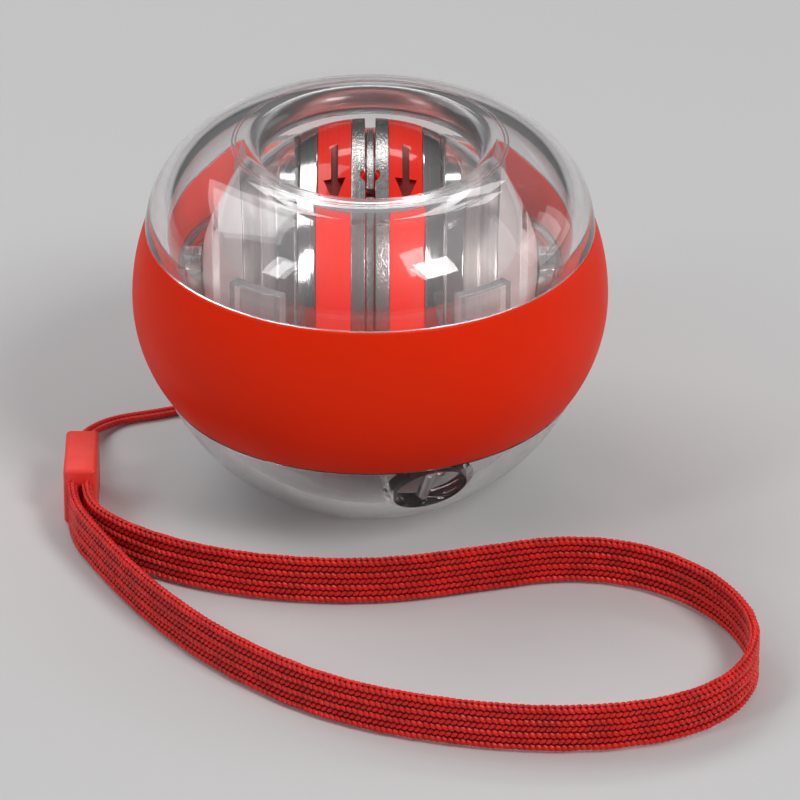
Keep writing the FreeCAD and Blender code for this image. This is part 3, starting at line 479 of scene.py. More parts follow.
steelLook = dict(plated, roughness=0.24, lineRoughness=0.34, smudge=0.08, lineWidth=0.0002, grain=0.0004,
                 cloud=0.003, colour=(0.62, 0.62, 0.63), lineColour=(0.55, 0.55, 0.56), tarnish=0.3,
                 tarnishColour=(0.45, 0.44, 0.43), grainDepth=0.000006, lineDepth=0.000006)
bronzeLook = dict(plated, roughness=0.34, lineRoughness=0.42, smudge=0.1, lineWidth=0.0003, grain=0.0002,
                  cloud=0.002, colour=(0.50, 0.45, 0.40), lineColour=(0.42, 0.38, 0.34), tarnish=0.4,
                  tarnishColour=(0.30, 0.27, 0.24), grainDepth=0.00001, lineDepth=0.000005)


sheen = dict(roughness=0.4, tint=(1.0, 0.55, 0.5, 1))


def yarnFinish(name, look):
    material, nodes, shader = newMaterial(name, {
        "Sheen Weight": look["sheen"], "Sheen Roughness": sheen["roughness"], "Sheen Tint": sheen["tint"],
        "Specular IOR Level": look["specular"]})
    fibres = nodes.group(fibreGroup, {"Filaments": look["filaments"], "Length Share": look["lengthShare"]})
    grain = grainOf(nodes, look)
    colour = nodes.mixed(fibres["Shade"], look["colour"], look["pale"])
    varied = nodes.mapped(grain["Cloud"], 0.0, look["variation"])
    nodes.fill(shader.inputs, {
        "Base Color": nodes.mixed(varied, colour, look["deep"]),
        "Roughness": spreadRough(nodes, fibres["Shade"], look, "yarn"),
        "Normal": nodes.bump(fibres["Height"], look["fibreDepth"])})
    return material


strapLook = dict(colour=(0.76, 0.009, 0.007), pale=(0.94, 0.024, 0.016), deep=(0.42, 0.003, 0.003),
                 roughness=0.36, sheen=0.02, specular=0.4, filaments=7.0, lengthShare=1.6,
                 grain=0.0002, cloud=0.004, variation=0.5, fibreDepth=0.00006)
# near-black red of the strap's core: painted shade in the gaps between the stitches
gapShadeLook = dict(colour=(0.09, 0.002, 0.003), pale=(0.16, 0.004, 0.004), deep=(0.04, 0.001, 0.001),
                  roughness=0.75, sheen=0.1, specular=0.3, filaments=14.0, lengthShare=200.0,
                  grain=0.0002, cloud=0.003, variation=0.6, fibreDepth=0.0001)
cordLook = dict(colour=(0.74, 0.012, 0.010), pale=(0.88, 0.035, 0.028), deep=(0.50, 0.006, 0.005),
                roughness=0.5, sheen=0.15, specular=0.4, filaments=16.0, lengthShare=400.0,
                grain=0.0002, cloud=0.003, variation=0.4, fibreDepth=0.00004)

recessShadeRed = mouldedPlastic("recessShadeRed", recessShadeLook)
coverClear = clearPlastic("rotorCoverClear", coverLook)
hubPearl = mouldedPlastic("hubPearl", hubLook)
weightSteel = turnedFinish("weightSteel", weightLook)
grooveSilver = turnedFinish("grooveSilver", silverLook)
strapGapShade = yarnFinish("strapGapShade", gapShadeLook)
finishes = dict(   # one for each of the record's material slots
    clear_shell=clearPlastic("clearShell", shellLook),
    clear_ring=clearPlastic("clearRing", ringLook),
    grip_red=mouldedPlastic("gripRed", bandLook),
    rotor_red=turnedFinish("rotorRed", redLook),
    rotor_chrome=turnedFinish("rotorChrome", chromeLook),
    rotor_cap=hubPearl,
    rotor_core=mouldedPlastic("rotorCore", coreLook),
    steel=turnedFinish("groundSteel", steelLook),
    bronze=turnedFinish("sinteredBronze", bronzeLook),
    strap_red=yarnFinish("strapYarn", strapLook),
    cord_red=yarnFinish("cordYarn", cordLook),
    clamp_red=mouldedPlastic("clampRed", clampLook))
print("stage: finishes made")


def settle(piece, body, slotName, *nodes):
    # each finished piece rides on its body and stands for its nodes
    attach(piece, body)
    if nodes:
        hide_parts(*nodes)


# Clear shells and the grip band

upperShell = dict(lip=18.4, lipHeight=24.87, mouth=16.0, wall=3.4, raceShoulder=4.0,
                  lineRadii=(20.1, 19.6), lineHalf=0.09, lineDepth=0.08)
upperShell["shoulder"] = ball["wall"] - upperShell["lip"]
upperShell["shoulderHeight"] = upperShell["lipHeight"] - upperShell["shoulder"]
upperShell["ledge"] = upperShell["lip"] + leg(upperShell["shoulder"],
                                              ball["bandTop"] - upperShell["shoulderHeight"])


def makeUpperShell():
    part = upperShell
    shoulder, height = part["shoulder"], part["shoulderHeight"]
    innerShoulder = shoulder - part["wall"]
    low = ball["parting"] + ball["partingGap"]
    lipRound = part["lip"] - part["mouth"]
    lines = []
    for radius in part["lineRadii"]:   # two fine grooves round the rim
        for offset, depth in ((part["lineHalf"], 0), (0, part["lineDepth"]), (-part["lineHalf"], 0)):
            place = radius + offset
            lines.append((place, height + leg(shoulder, place - part["lip"]) - depth))
        lines[-1] += (shoulder, "left")
    outline = [
        (ball["seat"], low),
        (ball["seat"], ball["bandTop"]),
        (part["ledge"], ball["bandTop"], shoulder, "left"),
        *lines,
        (part["lip"], part["lipHeight"], lipRound, "left"),
        (part["mouth"], part["lipHeight"] - lipRound),
        (part["mouth"], height + leg(innerShoulder, lipRound), innerShoulder, "right"),
        (ball["innerWall"], height),
        (ball["innerWall"], part["raceShoulder"]),
        (ball["bore"], part["raceShoulder"]),
        (ball["bore"], low),
    ]
    piece = turned("upperShell", [outline], "Z", finishes["clear_shell"], steps["shell"],
                   finest=fineArc["shell"])
    settle(piece, "housing", "clear_shell", "upper_shell")


lowerShell = dict(floor=28.5, inner=31.0, ledge=0.95, raceHalf=1.2, raceShoulder=4.0)
lanyardEye = dict(azimuth=18.6, elevation=-34.3, radius=5.5, wall=1.0, depth=5.5, bar=0.9, barDepth=1.9,
                  rib=0.6, ribHeight=1.4, stud=1.1, ribs=4, overrun=4.0)


def eyeTools(number):
    # an eye's cup, its recess, and the bar, stud and ribs inside it
    eye = lanyardEye
    azimuth = math.radians(eye["azimuth"] + 180 * number)
    elevation = math.radians(eye["elevation"])
    level, drop = math.cos(elevation), math.sin(elevation)
    outward = Vector((level * math.sin(azimuth), -level * math.cos(azimuth), drop))
    upright = Vector((-drop * math.sin(azimuth), drop * math.cos(azimuth), level))
    floor = ball["lowerSphere"] - eye["depth"]
    half = eye["wall"] / 2
    cupRadius = eye["radius"] + eye["wall"]
    cupStart = floor - eye["wall"]
    cupEnd = leg(lowerShell["inner"], cupRadius) + half
    cup = rod(cupRadius, cupEnd - cupStart, outward * cupStart, outward, steps["hub"])
    recess = rod(eye["radius"], eye["depth"] + eye["overrun"], outward * floor, outward, steps["hub"])
    reach = eye["radius"] + half
    rise = eye["ribHeight"] + half
    barFoot = outward * (ball["lowerSphere"] - eye["barDepth"]) - upright * reach
    inside = [rod(eye["bar"], reach * 2, barFoot, upright, steps["pin"]),
              rod(eye["stud"], rise, outward * (floor - half), outward, steps["pin"])]
    turn = Matrix((upright.cross(outward), upright, outward)).transposed()
    for rib in range(eye["ribs"]):
        ribTurn = turn @ Matrix.Rotation(fullTurn * (rib + 0.5) / eye["ribs"], 3, "Z")
        inside.append(block((reach, eye["rib"], rise), (0, -eye["rib"] / 2, floor - half), ribTurn))
    return cup, recess, inside


def makeLowerShell():
    part = lowerShell
    sphere = ball["lowerSphere"]
    equator = leg(sphere, ball["foot"])
    ledge = leg(sphere, ball["bandBottom"])
    top = ball["parting"] - ball["partingGap"]
    outline = [
        (0, -equator),
        (ball["foot"], -equator, sphere, "left"),
        (ledge, -ball["bandBottom"]),
        (ledge - part["ledge"], -ball["bandBottom"]),
        (ball["seat"], -ball["seatLow"]),
        (ball["seat"], top),
        (ball["race"], top),
        (ball["race"], -part["raceHalf"]),
        (ball["bore"], -part["raceHalf"]),
        (ball["bore"], -part["raceShoulder"]),
        (ball["innerWall"], -part["raceShoulder"]),
        (ball["innerWall"], -leg(part["inner"], ball["innerWall"]), part["inner"], "right"),
        (leg(part["inner"], part["floor"]), -part["floor"]),
        (0, -part["floor"]),
    ]
    piece = turned("lowerShell", [outline], "Z", finishes["clear_shell"], steps["shell"],
                   finest=fineArc["shell"])
    for number in range(2):
        cup, recess, inside = eyeTools(number)
        carve(piece, "UNION", cup)
        carve(piece, "DIFFERENCE", recess)
        carve(piece, "UNION", *inside)
    settle(piece, "housing", "clear_shell", "lower_shell")


gripBand = dict(gap=0.05, ledge=0.95, rounding=0.25)


def bulge(height, drop):
    return (height * height + drop * drop) / (drop * 2)


def makeGripBand():
    part = gripBand
    top, low = (ball[edge] - part["gap"] for edge in ("bandTop", "bandBottom"))
    seat = ball["seat"] + part["gap"]
    ledgeTop, ledgeLow = upperShell["ledge"], leg(ball["lowerSphere"], ball["bandBottom"])
    outline = [
        (ledgeLow, -low, bulge(low, ball["radius"] - ledgeLow), "left"),
        (ball["radius"], 0, bulge(top, ball["radius"] - ledgeTop), "left"),
        (ledgeTop, top),
        (seat, top),
        (seat, -ball["seatLow"]),
        (ledgeLow - part["ledge"] + part["gap"], -low),
    ]
    piece = turned("gripBand", [outline], "Z", finishes["grip_red"], steps["shell"], part["rounding"],
                   fineArc["band"])
    settle(piece, "housing", "grip_red", "grip_band")


# Track ring: flange in the race, two hubs and four guard lugs

trackRing = dict(half=1.0, collar=2.5, edgeGap=0.5, hub=6.5, hubFace=24.9, bore=2.5, lugFoot=4.4, lugTop=13.0,
                 lugOuter=28.4, lugSpread=17.0, lugRounding=0.3, lugAngles=(55.5, 124.5, 235.5, 304.5),
                 notch=1.3, notchSeat=0.05, overrun=4.0)


def makeTrackRing():
    part = trackRing
    inner, outer = ball["collarInner"], ball["collarOuter"]
    edge = ball["race"] - part["edgeGap"]
    half, collar, over, notch = (part[name] for name in ("half", "collar", "overrun", "notch"))
    flange = [(inner, -collar), (outer, -collar), (outer, -half), (edge, -half), (edge, half), (outer, half),
              (outer, collar), (inner, collar)]
    piece = turned("trackRing", [flange], "Z", finishes["clear_ring"])
    lug = [(inner, 0), (outer, 0), (outer, part["lugFoot"]), (part["lugOuter"], part["lugFoot"]),
           (part["lugOuter"], part["lugTop"]), (inner, part["lugTop"])]
    spread = math.radians(part["lugSpread"])
    for angle in part["lugAngles"]:
        tool = bmesh.new()
        start = math.radians(angle) - spread / 2
        spin(tool, outlinePoints(lug, part["lugRounding"]), "Z", steps["lug"], start, spread)
        carve(piece, "UNION", tool)
    for side in (-1, 1):
        along = Vector((side, 0, 0))
        hub = rod(part["hub"], over * 2, along * part["hubFace"], along, steps["hub"])
        hub = meshPiece("hub", hub, finishes["clear_ring"])
        carve(hub, "INTERSECT", rod(outer, part["hub"] * 2 + over, (0, 0, -part["hub"] - over / 2),
                                    (0, 0, 1), steps["ring"]))
        carve(piece, "UNION", meshTaken(hub))
        bore = rod(part["bore"], over * 2, along * (part["hubFace"] - over), along, steps["axle"])
        start = outer - part["notchSeat"]
        corner = (start if side > 0 else -start - over, -notch, -notch)
        carve(piece, "DIFFERENCE", bore, block((over, notch * 2, notch * 2), corner))
    settle(piece, "ring", "clear_ring", "track_ring")


# Axle, bushes and circlips

axle = dict(radius=1.5, tip=1.1, tipEnd=30.6, tipStart=27.5, chamfer=0.2, bushWall=0.95, gap=0.05,
            circlip=2.6, circlipRounding=0.08)


def ringCorners(start, end, inner, outer):
    return [(start, inner), (end, inner), (end, outer), (start, outer)]


def sided(corners, side):
    if side > 0:
        return corners
    other = dict(left="right", right="left")
    return [(-corner[0], corner[1], corner[2], other[corner[3]]) if len(corner) == 4
            else (-corner[0], corner[1]) for corner in corners]


def makeAxle():
    part = axle
    radius, tip, end, start, gap = (part[name] for name in ("radius", "tip", "tipEnd", "tipStart", "gap"))
    outline = [(-end, 0), (end, 0), (end, tip), (start, tip), (start, radius), (-start, radius),
               (-start, tip), (-end, tip)]
    piece = turned("axle", [outline], "X", finishes["steel"], steps["axle"], part["chamfer"])
    settle(piece, "axle", "steel", "axle")
    face, inner = trackRing["hubFace"], radius + gap
    bush = ringCorners(face, ball["collarOuter"] - gap, inner, inner + part["bushWall"])
    clip = ringCorners(ball["rotorEnd"] + gap, face - gap, radius, part["circlip"])
    for side, hand in hands:
        piece = turned("axleBush_" + hand, [sided(bush, side)], "X", finishes["bronze"], steps["axle"])
        settle(piece, "ring", "bronze", "axle_bush_" + hand)
        piece = turned("circlip_" + hand, [sided(clip, side)], "X", finishes["steel"], steps["axle"],
                       part["circlipRounding"])
        settle(piece, "axle", "steel", "circlip_" + hand)


# Rotor, turned round X

rotor = dict(grooveRing=2.7, groove=0.75, grooveDepth=1.4, web=21.0, redEnd=7.6, steelEnd=10.3, stepEnd=12.8,
             weightStep=14.9, weightEnd=17.4, core=12.0, coverInner=23.87, capSphere=23.9, opening=12.1,
             boss=12.0, coreBore=2.4, bearing=4.0, bearingStart=20.4, strip=0.52, liner=23.6, linerSeat=0.1,
             landRounding=0.1, linerRounding=0.05)
arrow = dict(length=12.4, shaft=1.0, head=3.2, barb=4.7, depth=0.7, angle=72.6, count=2, overrun=4.0)
startHole = dict(radius=1.5, inner=1.1, notch=1.5, angle=70.0, count=2, depth=1.4, markDrop=0.5,
                 markGap=0.02, keepGap=0.1, overrun=4.0)


def rim(place):
    return leg(ball["rotor"], place)


def capRim(place):
    return leg(rotor["capSphere"], place)


def aroundAxle(angle):
    return Matrix.Rotation(math.radians(90 - angle), 3, "X")


def arrowTool(side, number):
    middle = (rotor["grooveRing"] + rotor["redEnd"]) / 2 * side
    tail, shaft, head = arrow["length"] / 2, arrow["shaft"] / 2, arrow["head"] / 2
    neck = arrow["barb"] - tail
    floor = rim(abs(middle)) - arrow["depth"]
    outline = ((shaft, tail), (-shaft, tail), (-shaft, neck), (-head, neck), (0, -tail), (head, neck),
               (shaft, neck))
    turn = aroundAxle(arrow["angle"] + 360 * number / arrow["count"])
    bm = bmesh.new()
    rings = [[bm.verts.new(ballCentre + turn @ Vector((middle + across, along, height)) * mm)
              for across, along in outline] for height in (floor, floor + arrow["overrun"])]
    bridge(bm, *rings)
    closeEnds(bm, rings)
    return bm


def makeRotorSide(side, hand):
    part = rotor
    sphere, coverSphere, capSphere = ball["rotor"], part["coverInner"], part["capSphere"]
    core, redEnd, steelEnd, stepEnd = (part[name] for name in ("core", "redEnd", "steelEnd", "stepEnd"))
    weightStep, weightEnd, boss = (part[name] for name in ("weightStep", "weightEnd", "boss"))
    bearingStart, bearing, bore = (part[name] for name in ("bearingStart", "bearing", "coreBore"))
    end, opening = ball["rotorEnd"], part["opening"]
    redStart, flywheelStart, weightStart, coverStart, capStart = (
        place + ball["seatGap"] for place in (part["grooveRing"], redEnd, stepEnd, steelEnd, weightEnd))
    red = [(redStart, core), (redEnd, core), (redEnd, rim(redEnd), sphere, "left"),
           (redStart, rim(part["grooveRing"]))]
    flywheel = [(flywheelStart, core), (stepEnd, core), (stepEnd, capRim(stepEnd)),
                (steelEnd, capRim(stepEnd)), (steelEnd, rim(steelEnd), sphere, "left"),
                (flywheelStart, rim(redEnd))]
    weight = [(weightStart, core), (weightEnd, core), (weightEnd, capRim(weightEnd)),
              (weightStep, capRim(weightEnd)), (weightStep, capRim(weightStep)),
              (weightStart, capRim(weightStep))]
    cover = [(coverStart, leg(coverSphere, steelEnd), coverSphere, "right"),
             (leg(coverSphere, opening), opening), (rim(opening), opening, sphere, "left"),
             (coverStart, rim(steelEnd))]
    cap = [(capStart, bore), (bearingStart, bore), (bearingStart, bearing), (end, bearing),
           (end, rim(end), sphere, "left"), (rim(boss), boss), (capRim(boss), boss, capSphere, "left"),
           (capStart, capRim(weightEnd))]
    pieces = (   # name, outline, material, steps, rounding, slot, CAD node
        ("redBand_", red, finishes["rotor_red"], "shell", 0.12, "rotor_red", "red_band_"),
        ("flywheelRing_", flywheel, finishes["rotor_chrome"], "ring", 0.2, "rotor_chrome", "flywheel_ring_"),
        ("weightRing_", weight, weightSteel, "ring", 0.2, "rotor_chrome", "weight_ring_"),
        ("rotorCover_", cover, coverClear, "ring", 0.2, "clear_ring", "rotor_cover_"),
        ("endCap_", cap, hubPearl, "ring", 0.25, "rotor_cap", "end_cap_"))
    for name, outline, material, count, rounding, slotName, node in pieces:
        piece = turned(name + hand, [sided(outline, side)], "X", material, steps[count], rounding)
        if name == "redBand_":
            for number in range(arrow["count"]):
                # the recess faces take the dark red that paints their shade
                carve(piece, "DIFFERENCE", arrowTool(side, number), cutFinish=recessShadeRed)
        settle(piece, "rotor", slotName, node + hand)


def sideTool(side, start, width, low, turn):
    # a box for what lies beyond a distance on one side of the ring's middle
    corner = (start if side > 0 else -start - width, -width, low)
    return block((width, width * 2, width * 4), corner, turn)


def makeGrooveRing():
    part, hole = rotor, startHole
    groove, ringEnd, web, strip = (part[name] for name in ("groove", "grooveRing", "web", "strip"))
    edge = rim(groove)
    floor = edge - part["grooveDepth"]
    land = [(groove, web), (ringEnd, web), (ringEnd, rim(ringEnd), ball["rotor"], "left"), (groove, edge)]
    silver = turned("grooveRing", [land, sided(land, -1), ringCorners(-strip, strip, web, floor)], "X",
                    grooveSilver, steps["shell"], part["landRounding"])
    liner = turned("grooveLiner", [ringCorners(-groove, groove, web + part["linerSeat"], part["liner"])], "X",
                   finishes["rotor_red"], steps["shell"], part["linerRounding"])
    radius, depth, over, width = hole["radius"], hole["depth"], hole["overrun"], hole["radius"] * 2
    marks = bmesh.new()
    for number in range(hole["count"]):
        turn = aroundAxle(hole["angle"] + 360 * number / hole["count"])
        out = turn @ Vector((0, 0, 1))
        for side in (-1, 1):   # the lands only, so the strip runs on through the hole
            half = meshPiece("half", rod(radius, depth * 2 + over, out * (floor - depth), out), grooveSilver)
            carve(half, "INTERSECT", sideTool(side, strip + hole["keepGap"], width, floor - width, turn))
            carve(silver, "DIFFERENCE", meshTaken(half))
            markFoot = out * (edge - hole["markDrop"] - depth * 2)
            mark = meshPiece("mark", rod(radius - hole["markGap"], depth * 2, markFoot, out),
                             finishes["rotor_red"])
            carve(mark, "DIFFERENCE", rod(hole["inner"], over * 2, out * (floor - over), out))
            carve(mark, "INTERSECT", sideTool(side, groove + hole["markGap"], width, floor - width * 2, turn))
            marks.from_mesh(mark.data)
            bpy.data.objects.remove(mark)
        notch = block((hole["notch"], hole["notch"], depth * 2 + over),
                      (-hole["notch"] / 2, -hole["notch"] - radius, floor - depth), turn)
        linerNotch = notch.copy()
        carve(silver, "DIFFERENCE", notch)
        carve(liner, "DIFFERENCE", linerNotch)
    settle(silver, "rotor", "rotor_chrome", "groove_ring")
    settle(liner, "rotor", "rotor_red")
    settle(meshPiece("startMarks", marks, finishes["rotor_red"]), "rotor", "rotor_red")


makeUpperShell()
makeLowerShell()
makeGripBand()
print("stage: shells and band made")
makeTrackRing()
makeAxle()
print("stage: track ring and axle made")
for side, hand in hands:
    makeRotorSide(side, hand)
makeGrooveRing()
print("stage: rotor made")


# Lanyard: flat braided strap on its edge, thin doubled cord and the clamp between them

strap = dict(
    width=7.8, coreThick=0.8, height=4.0, rows=7, rowPitch=1.0, rowSink=0.14, spacing=0.88, faceOffset=0.44,
    edgeOffset=3.40, stitchLength=1.28, stitchWidth=0.78, stitchThick=0.68, tilt=36.0, edgeTilt=28.0,
    wander=0.22, wanderScale=420.0, stitchSides=6, stitchRings=4, edgeRound=0.6, fineness=12, length=261.5,
    route=((-41.6, -14.8), (-41.6, -19.8), (-37.0, -26.0), (-27.5, -32.6), (-14.0, -37.0), (2.0, -37.8),
           (16.5, -33.9), (29.0, -30.6), (41.0, -33.6), (50.5, -42.4), (55.4, -55.0), (52.5, -67.3),
           (43.0, -75.2), (27.5, -78.2), (10.0, -75.8), (-6.5, -69.6), (-20.5, -57.8), (-31.5, -43.8),
           (-39.5, -29.0), (-43.7, -19.9), (-43.7, -14.8)))
cord = dict(
    radius=0.5, strands=3, lobe=0.16, twistLength=2.4, sides=18, fineness=24, length=131.0,
    route=((-43.3, -2.5, 4.6), (-43.4, 4.0, 3.8), (-42.6, 10.8, 1.6), (-39.0, 16.1, 0.55),
           (-31.9, 18.2, 0.55), (-24.5, 21.1, 0.55), (-19.3, 26.6, 0.55), (-15.0, 30.4, 1.6),
           (-12.3, 30.9, 5.8), (-10.3, 26.7, 11.5), (-9.4, 23.0, 14.09),
           (-6.4, 24.0, 14.09), (-8.0, 27.5, 11.5), (-10.9, 31.1, 5.8), (-13.8, 30.0, 1.6),
           (-18.3, 25.8, 0.55), (-23.9, 20.1, 0.55), (-31.7, 17.0, 0.55), (-38.2, 15.1, 0.55),
           (-41.4, 10.4, 1.6), (-42.2, 4.0, 3.8), (-42.0, -2.5, 4.6)))
clamp = dict(low=(-45.1, -14.8, 0.0), high=(-40.2, -2.5, 9.2), rounding=0.7, segments=5)


def routeCurve(name, points, resolution):
    # a smooth NURBS line with the route's points as its control points
    curve = bpy.data.curves.new(name, "CURVE")
    curve.dimensions = "3D"
    curve.resolution_u = resolution
    spline = curve.splines.new("NURBS")
    spline.points.add(len(points) - 1)
    for point, place in zip(spline.points, points):
        point.co = (*(Vector(place) * mm), 1)
    spline.order_u = 3
    spline.use_endpoint_u = True
    return addObject(name, curve)


def routePoints(piece):
    return [vertex.co.copy() for vertex in evaluatedMesh(piece).vertices]


def sweptMesh(name, path, section, material, twist=0.0, upright=False):
    # carries a closed section along the path; the map's first value runs along the yarn in metres
    bm = bmesh.new()
    layer = bm.loops.layers.uv.new("yarnMap")
    rings, lengths, run = [], [], 0.0
    up = Vector((0, 0, 1))
    side = up.cross((path[1] - path[0]).normalized()).normalized()
    for index, point in enumerate(path):
        before, after = path[max(index - 1, 0)], path[min(index + 1, len(path) - 1)]
        tangent = (after - before).normalized()
        if index:
            run += (point - path[index - 1]).length
        if upright:
            side = up.cross(tangent).normalized()
        side = (side - tangent * side.dot(tangent)).normalized()
        rise = tangent.cross(side)
        places = [Matrix.Rotation(twist * run, 2) @ Vector(corner) if twist else Vector(corner)
                  for corner in section]
        rings.append([bm.verts.new(point + side * place.x * mm + rise * place.y * mm) for place in places])
        lengths.append(run)
    for index in range(len(rings) - 1):
        start, end = lengths[index], lengths[index + 1]
        for corner, face in enumerate(bridge(bm, rings[index], rings[index + 1])):
            marks = ((start, corner), (start, corner + 1), (end, corner + 1), (end, corner))
            for loop, (along, around) in zip(face.loops, marks):
                loop[layer].uv = (along, around / len(section))
    closeEnds(bm, rings)
    return meshPiece(name, bm, material)


def stitchMesh():
    # one plump stitch of a few faces, lying along X
    bm = bmesh.new()
    bmesh.ops.create_uvsphere(bm, u_segments=strap["stitchSides"], v_segments=strap["stitchRings"],
                              radius=0.5)
    for vertex in bm.verts:
        vertex.co = vertex.co.zxy
    layer = bm.loops.layers.uv.new("yarnMap")
    for face in bm.faces:
        for loop in face.loops:
            place = loop.vert.co
            loop[layer].uv = (place.x + 0.5, math.atan2(place.z, place.y) / math.pi)
    return meshPiece("stitch", bm, finishes["strap_red"])


def makeBraidTree():
    # rows of tilted stitches on both faces of a strap that stands on edge along a curve
    sizes = ("Spacing", "Row Pitch", "Row Sink", "Face Offset", "Edge Offset", "Length", "Width", "Thickness",
             "Tilt", "Edge Tilt", "Wander", "Wander Scale")
    nodes, given, result = newGroup("braidedStrap", [
        ("Geometry", "Geometry", None), ("Stitch", "Object", None), ("Rows", "Int", 6),
        ("Material", "Material", None)] + [(label, "Float", 1.0) for label in sizes],
        [("Geometry", "Geometry")], "GeometryNodeTree")
    add, calc = nodes.add, nodes.math
    stitch = add("GeometryNodeObjectInfo", {"Object": given["Stitch"]})["Geometry"]
    index = add("GeometryNodeInputIndex")[0]
    odd = calc("MODULO", index, 2.0)
    middle = calc("DIVIDE", calc("SUBTRACT", given["Rows"], 1.0), 2.0)
    height = calc("MULTIPLY", calc("SUBTRACT", index, middle), given["Row Pitch"])
    shift = calc("MULTIPLY", odd, calc("MULTIPLY", given["Spacing"], 0.5))
    scale = nodes.joined(X=given["Length"], Y=given["Thickness"], Z=given["Width"])
    sunk = calc("SUBTRACT", given["Face Offset"], calc("MULTIPLY", odd, given["Row Sink"]))
    lean = calc("SUBTRACT", calc("MULTIPLY", odd, 2.0), 1.0)
    faces = []

    def stitches(count, place, turn):
        line = add("GeometryNodeMeshLine", {"Count": count})[0]
        points = add("GeometryNodeSetPosition", {"Geometry": line, "Position": place})[0]
        faces.append(add("GeometryNodeInstanceOnPoints", {
            "Points": points, "Instance": stitch, "Rotation": turn, "Scale": scale})[0])

    for sign in (-1.0, 1.0):
        stitches(given["Rows"], nodes.joined(X=shift, Y=calc("MULTIPLY", sunk, sign), Z=height),
                 nodes.joined(Y=calc("MULTIPLY", lean, calc("MULTIPLY", given["Tilt"], sign))))
    for sign in (-1.0, 1.0):   # one slanted stitch over each edge
        stitches(1, nodes.joined(Z=calc("MULTIPLY", given["Edge Offset"], sign)),
                 nodes.joined(Z=given["Edge Tilt"]))
    column = nodes.node("GeometryNodeJoinGeometry")
    for face in faces:
        nodes.fill(column.inputs, {0: face})
    path = add("GeometryNodeResampleCurve", {"Curve": given["Geometry"], "Length": given["Spacing"]},
               mode="LENGTH")[0]
    points = add("GeometryNodeCurveToPoints", {"Curve": path}, mode="EVALUATED")
    turn = add("FunctionNodeAlignRotationToVector", {"Vector": points["Tangent"]}, axis="X",
               pivot_axis="Z")[0]
    placed = add("GeometryNodeInstanceOnPoints", {
        "Points": points["Points"], "Instance": column.outputs[0], "Rotation": turn})[0]
    solid = add("GeometryNodeRealizeInstances", {"Geometry": placed})[0]
    place = add("GeometryNodeInputPosition")[0]
    noise = nodes.noise(place, given["Wander Scale"], 1.0)["Color"]
    centred = add("ShaderNodeVectorMath", {0: noise, 1: (0.5, 0.5, 0.5)}, operation="SUBTRACT")[0]
    offset = add("ShaderNodeVectorMath", {0: centred, "Scale": given["Wander"]}, operation="SCALE")[0]
    solid = add("GeometryNodeSetPosition", {"Geometry": solid, "Offset": offset})[0]
    solid = add("GeometryNodeSetMaterial", {"Geometry": solid, "Material": given["Material"]})[0]
    nodes.fill(result, {"Geometry": solid})
    return nodes.tree


def setInputs(modifier, values):
    # a modifier's inputs are set by the sockets' identifiers
    for socket in modifier.node_group.interface.items_tree:
        if socket.in_out == "INPUT" and socket.name in values:
            modifier[socket.identifier] = values[socket.name]


def makeStrap():
    curve = routeCurve("strapRoute", [(*place, strap["height"]) for place in strap["route"]],
                       strap["fineness"])
    path = routePoints(curve)
    half, thick = strap["width"] / 2 - strap["stitchWidth"] / 2, strap["coreThick"] / 2
    short, flat = half - thick, thick * strap["edgeRound"]
    section = [(-thick, -short), (-flat, -half), (flat, -half), (thick, -short),
               (thick, short), (flat, half), (-flat, half), (-thick, short)]
    # the core under the stitches is a near-black sheet that paints the shade between them
    gapShadeCore = sweptMesh("wristStrap", path, section, strapGapShade, upright=True)
    stitch = stitchMesh()
    modifier = curve.modifiers.new("braid", "NODES")
    modifier.node_group = makeBraidTree()
    lengths = {"Spacing": "spacing", "Row Pitch": "rowPitch", "Row Sink": "rowSink",
               "Face Offset": "faceOffset", "Edge Offset": "edgeOffset", "Length": "stitchLength",
               "Width": "stitchWidth", "Thickness": "stitchThick", "Wander": "wander"}
    setInputs(modifier, {label: strap[name] * mm for label, name in lengths.items()})
    setInputs(modifier, {
        "Stitch": stitch, "Rows": strap["rows"], "Material": finishes["strap_red"],
        "Tilt": math.radians(strap["tilt"]), "Edge Tilt": math.radians(strap["edgeTilt"]),
        "Wander Scale": strap["wanderScale"]})
    mesh = evaluatedMesh(curve)
    braid = addObject("strapBraid", mesh)
    mesh.shade_smooth()
    bpy.data.objects.remove(stitch)
    bpy.data.objects.remove(curve)
    settle(gapShadeCore, "housing", "strap_red", "wrist_strap")
    settle(braid, "housing", "strap_red")
    return gapShadeCore, braid, path


def makeLoopCord():
    curve = routeCurve("cordRoute", cord["route"], cord["fineness"])
    path = routePoints(curve)
    bpy.data.objects.remove(curve)
    section = []
    for corner in range(cord["sides"]):
        angle = fullTurn * corner / cord["sides"]
        lobe = abs(math.sin(cord["strands"] * angle / 2))
        radius = cord["radius"] * (1 - cord["lobe"] + cord["lobe"] * lobe)
        section.append((radius * math.cos(angle), radius * math.sin(angle)))
    piece = sweptMesh("loopCord", path, section, finishes["cord_red"], fullTurn / (cord["twistLength"] * mm))
    settle(piece, "housing", "cord_red", "loop_cord")
    return piece, path


def makeClamp():
    low, high = Vector(clamp["low"]) * mm, Vector(clamp["high"]) * mm
    bm = bmesh.new()
    matrix = Matrix.Translation((low + high) / 2) @ Matrix.Diagonal((*(high - low), 1))
    bmesh.ops.create_cube(bm, size=1, matrix=matrix)
    bmesh.ops.bevel(bm, geom=bm.edges[:], offset=clamp["rounding"] * mm, segments=clamp["segments"],
                    profile=0.5, affect="EDGES")
    piece = meshPiece("strapClamp", bm, finishes["clamp_red"])
    settle(piece, "housing", "clamp_red", "strap_clamp")
    return piece


strapGapShadePiece, strapBraid, strapPath = makeStrap()
cordPiece, cordPath = makeLoopCord()
clampPiece = makeClamp()
print("stage: lanyard made")


# Finish of the CAD nodes that stay: bearings, core, pins and the spring start

